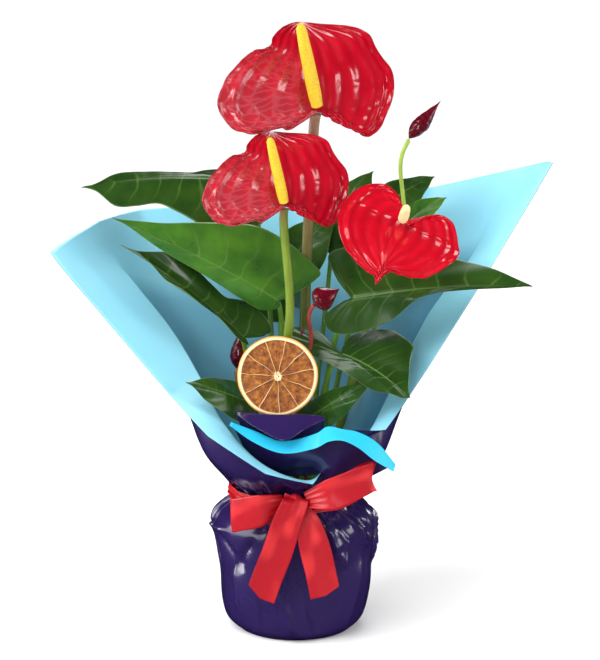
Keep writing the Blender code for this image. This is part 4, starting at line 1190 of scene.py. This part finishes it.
def makeSoil(material):
    low, high = (Vector(corner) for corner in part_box("potting_soil"))
    deselectAll()
    bpy.ops.mesh.primitive_cylinder_add(vertices=96, radius=high.x - peat["gap"], depth=high.z - low.z,
                                        location=(0, 0, (low.z + high.z) / 2), end_fill_type="NOTHING")
    soil = named("peat_soil")
    bpy.ops.object.transform_apply(location=True)
    shrink = (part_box("potting_soil")[1][0] - peat["foot"]) / high.x
    for vertex in soil.data.vertices:
        if vertex.co.z < (low.z + high.z) / 2:
            vertex.co.x *= shrink
            vertex.co.y *= shrink
    pickOut(soil)
    bpy.ops.object.mode_set(mode="EDIT")
    bpy.ops.mesh.select_all(action="SELECT")
    bpy.ops.mesh.fill_holes(sides=0)
    bpy.ops.mesh.select_all(action="DESELECT")
    bpy.ops.object.mode_set(mode="OBJECT")
    for polygon in soil.data.polygons:
        polygon.select = polygon.normal.z > 0.9
    bpy.ops.object.mode_set(mode="EDIT")
    for step in range(peat["rings"]):
        bpy.ops.mesh.inset(thickness=peat["ringWidth"])
    bpy.ops.object.mode_set(mode="OBJECT")
    for vertex in soil.data.vertices:
        reach = math.hypot(vertex.co.x, vertex.co.y)
        if vertex.co.z > high.z - 0.0005:
            rough = noise.noise(vertex.co * 320) * 0.0012 + noise.noise(vertex.co * 90) * 0.0016
            vertex.co.z += rough - peat["drop"] - peat["dish"] * (reach / high.x) ** 3
    paint(soil, material)
    return finishPiece(soil, "soil", "potting_soil")


slices = {"segments": 11, "turn": 0.35, "tilt": 8.0, "thick": 0.005, "flesh": 0.895, "rind": 0.955,
          "sink": 0.0011, "unevenness": 0.0005, "coreSink": 0.0008, "roundOff": 0.0012, "around": 264,
          "cream": (0.86, 0.66, 0.36), "skin": (0.8, 0.55, 0.25), "hole": (0.25, 0.08, 0.01),
          "peel": (0.62, 0.27, 0.05)}


# u runs round the slice, v from the middle to the peel
def dryOrangeMaterial():
    material, tree, shader = newMaterial("dried orange", 0.5, Coat_Weight=0.2, Coat_Roughness=0.3)
    place = placeOn(tree)
    uv, u, v = mapOn(tree)
    mottle = noiseAt(tree, place, 210.0, 4.0, 0.6)
    fibre = noiseAt(tree, stretched(tree, uv, (130.0, 7.0, 1.0)), 1.0)
    colour = ramp(tree, plus(tree, times(tree, mottle, 0.6), times(tree, fibre, 0.4)),
                  (0.33, (0.08, 0.018, 0.002)), (0.5, (0.27, 0.072, 0.004)),
                  (0.68, (0.48, 0.19, 0.015)))
    wobble = scaled(tree, noiseAt(tree, place, 70.0, 2.0), 0.03, -0.015)
    sector = calc(tree, "FRACT", times(tree, plus(tree, u, wobble), float(slices["segments"])))
    thickness = calc(tree, "DIVIDE", 0.03, plus(tree, v, 0.22))
    skin = band(tree, calc(tree, "ABSOLUTE", calc(tree, "SUBTRACT", sector, 0.5)), 0.5, thickness)
    colour = mixed(tree, skin, colour, slices["skin"])
    core = ramp(tree, scaled(tree, mottle, 0.1, v), (0.13, 1), (0.17, 0))
    holes = ramp(tree, noiseAt(tree, place, 700.0, 1.0), (0.56, 0), (0.62, 1))
    colour = mixed(tree, core, colour, mixed(tree, holes, slices["cream"], slices["hole"]))
    pith = ramp(tree, v, (slices["flesh"], 0), (slices["flesh"] + 0.02, 1))
    colour = mixed(tree, pith, colour, slices["cream"])
    peel = ramp(tree, v, (slices["rind"], 0), (slices["rind"] + 0.03, 1))
    setColour(tree, shader, mixed(tree, peel, colour, slices["peel"]))
    addBump(tree, shader, plus(tree, mottle, fibre), 0.35, 0.0008)
    return material


def makeSlice(material):
    low, high = (Vector(corner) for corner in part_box("orange_slice"))
    centre = (low + high) / 2
    tilt = math.radians(slices["tilt"])
    radius = (high.x - low.x) / 2
    thick = slices["thick"]
    up = Vector((0, math.sin(tilt), math.cos(tilt)))
    facing = Vector((0, -math.cos(tilt), math.sin(tilt)))
    segments = slices["segments"]

    def face(front):
        def shape(u, v):
            turn = math.tau * (u + slices["turn"] / segments)
            sector = abs(u * segments - math.floor(u * segments) - 0.5) * 2.0
            inFlesh = fade(v, 0.1, 0.16) * (1.0 - fade(v, 0.87, 0.91))
            walls = 1.0 - math.exp(-(1.0 - sector) * 3.5 * (v + 0.1) / 0.18)
            right, upward = math.cos(turn) * v, math.sin(turn) * v
            grain = noise.noise(Vector((right * 9, upward * 9, 3.0 if front else 8.0)))
            fine = noise.noise(Vector((right * 26, upward * 26, 5.0)))
            uneven = slices["unevenness"]
            sink = inFlesh * walls * (slices["sink"] + uneven * grain + uneven * fine)
            core = (1.0 - fade(v, 0.05, 0.11)) * slices["coreSink"]
            edge = 1.0 + 0.006 * math.sin(3 * turn + 0.6) + 0.003 * math.sin(8 * turn)
            roundOff = slices["roundOff"] * fade(v, 0.93, 1.0) ** 2
            lift = thick / 2 - sink - core - roundOff
            reach = v * radius * (edge if v > 0.5 else 1.0) * 0.994
            flat = Vector((math.cos(turn), 0, 0)) * reach + up * (math.sin(turn) * reach)
            return centre + flat + facing * (lift if front else -lift)
        return shape

    deselectAll()
    front = shapedGrid("dried_orange", slices["around"], 56, face(True))
    back = shapedGrid("dried_orange_back", slices["around"], 30, face(False))
    deselectAll()
    back.select_set(True)
    front.select_set(True)
    bpy.context.view_layer.objects.active = front
    bpy.ops.object.join()
    piece = bpy.context.object
    weld(piece, 2e-5)
    pickOut(piece)
    bpy.ops.object.mode_set(mode="EDIT")
    bpy.ops.mesh.select_all(action="DESELECT")
    bpy.ops.mesh.select_non_manifold()
    bpy.ops.mesh.bridge_edge_loops()
    bpy.ops.mesh.select_all(action="SELECT")
    bpy.ops.mesh.normals_make_consistent(inside=False)
    bpy.ops.object.mode_set(mode="OBJECT")
    paint(piece, material)
    return finishPiece(piece, "dried_orange", "orange_slice")


# give a CAD part that already has its right shape its finish
def dressNode(name, material):
    part = bpy.data.objects[name]
    part.data.materials.clear()
    part.data.materials.append(material)


def makeWrap():
    outside, fold, cone = (filmSide(name) for name in ("outside", "inside fold, painted shade", "inside cone"))
    makeOuterFilm(outside, cone)
    # the collar's inner face takes the painted-shade copy of the inside film
    makeCollar("wrap_front_collar", frontFolds, outside, fold, "front_film")
    makeCollar("wrap_inner_corner", innerFolds, outside, outside, "inner_film")
    print("wrap made")


def makeRibbon():
    satin = satinMaterial()
    makeKnot(satin)
    makeBand(satin)
    for name, strip in strips.items():
        makeStrip(name, strip, satin)
    print("ribbon tied")


def makePlant():
    for name, blade in blades.items():
        makeBlade(f"blade_{name}", blade, leafRelief, leafForm["thick"], "leaf",
                  leafMaterial(f"leaf {name}", blade["tone"]), f"leaf_{name}")
    wrinkledPaintedSheenRed, heartRed, budRed = (
        spatheMaterial(name) for name in ("spathe, wrinkled, painted sheen", "spathe, heart", "bud red"))
    for name, blade in spathes.items():
        makeBlade(f"red_spathe_{name}", blade, spatheRelief, spatheForm["thick"], "spathe",
                  heartRed if name == "right" else wrinkledPaintedSheenRed, f"spathe_{name}", (150, 90))
    yellow = spadixMaterial("spadix yellow", (0.83, 0.6, 0.02), (0.6, 0.34, 0.01))
    cream = spadixMaterial("spadix cream", (0.9, 0.72, 0.42), (0.75, 0.5, 0.22))
    for name, spadix in spadices.items():
        makeSpadix(f"beaded_spadix_{name}", spadix, cream if name == "right" else yellow,
                   f"spadix_{name}")
    for name, bud in buds.items():
        makeBud(f"rolled_bud_{name}", bud, budRed, f"bud_{name}")
    finishes = {name: stalkMaterial(name) for name in stalkLook}
    kinds = {"petiole": ("leaf_stalk", "petiole"), "stem": ("flower_stalk", "flower stalk"),
             "bud": ("bud_stalk", "bud stalk")}
    for name, stalk in stalks.items():
        slotName, finish = kinds[name.split("_")[0]]
        makeStalk(name, stalk, slotName, finishes[stalk.get("finish", finish)])
    print("plant grown")


def makeRest():
    dressNode("nursery_pot", plasticMaterial())
    dressNode("slice_pick", woodMaterial())
    makeSoil(peatMaterial())
    makeSlice(dryOrangeMaterial())
    print("pot, soil and slice done")


setStudio()
makeWrap()
makeRibbon()
makePlant()
makeRest()
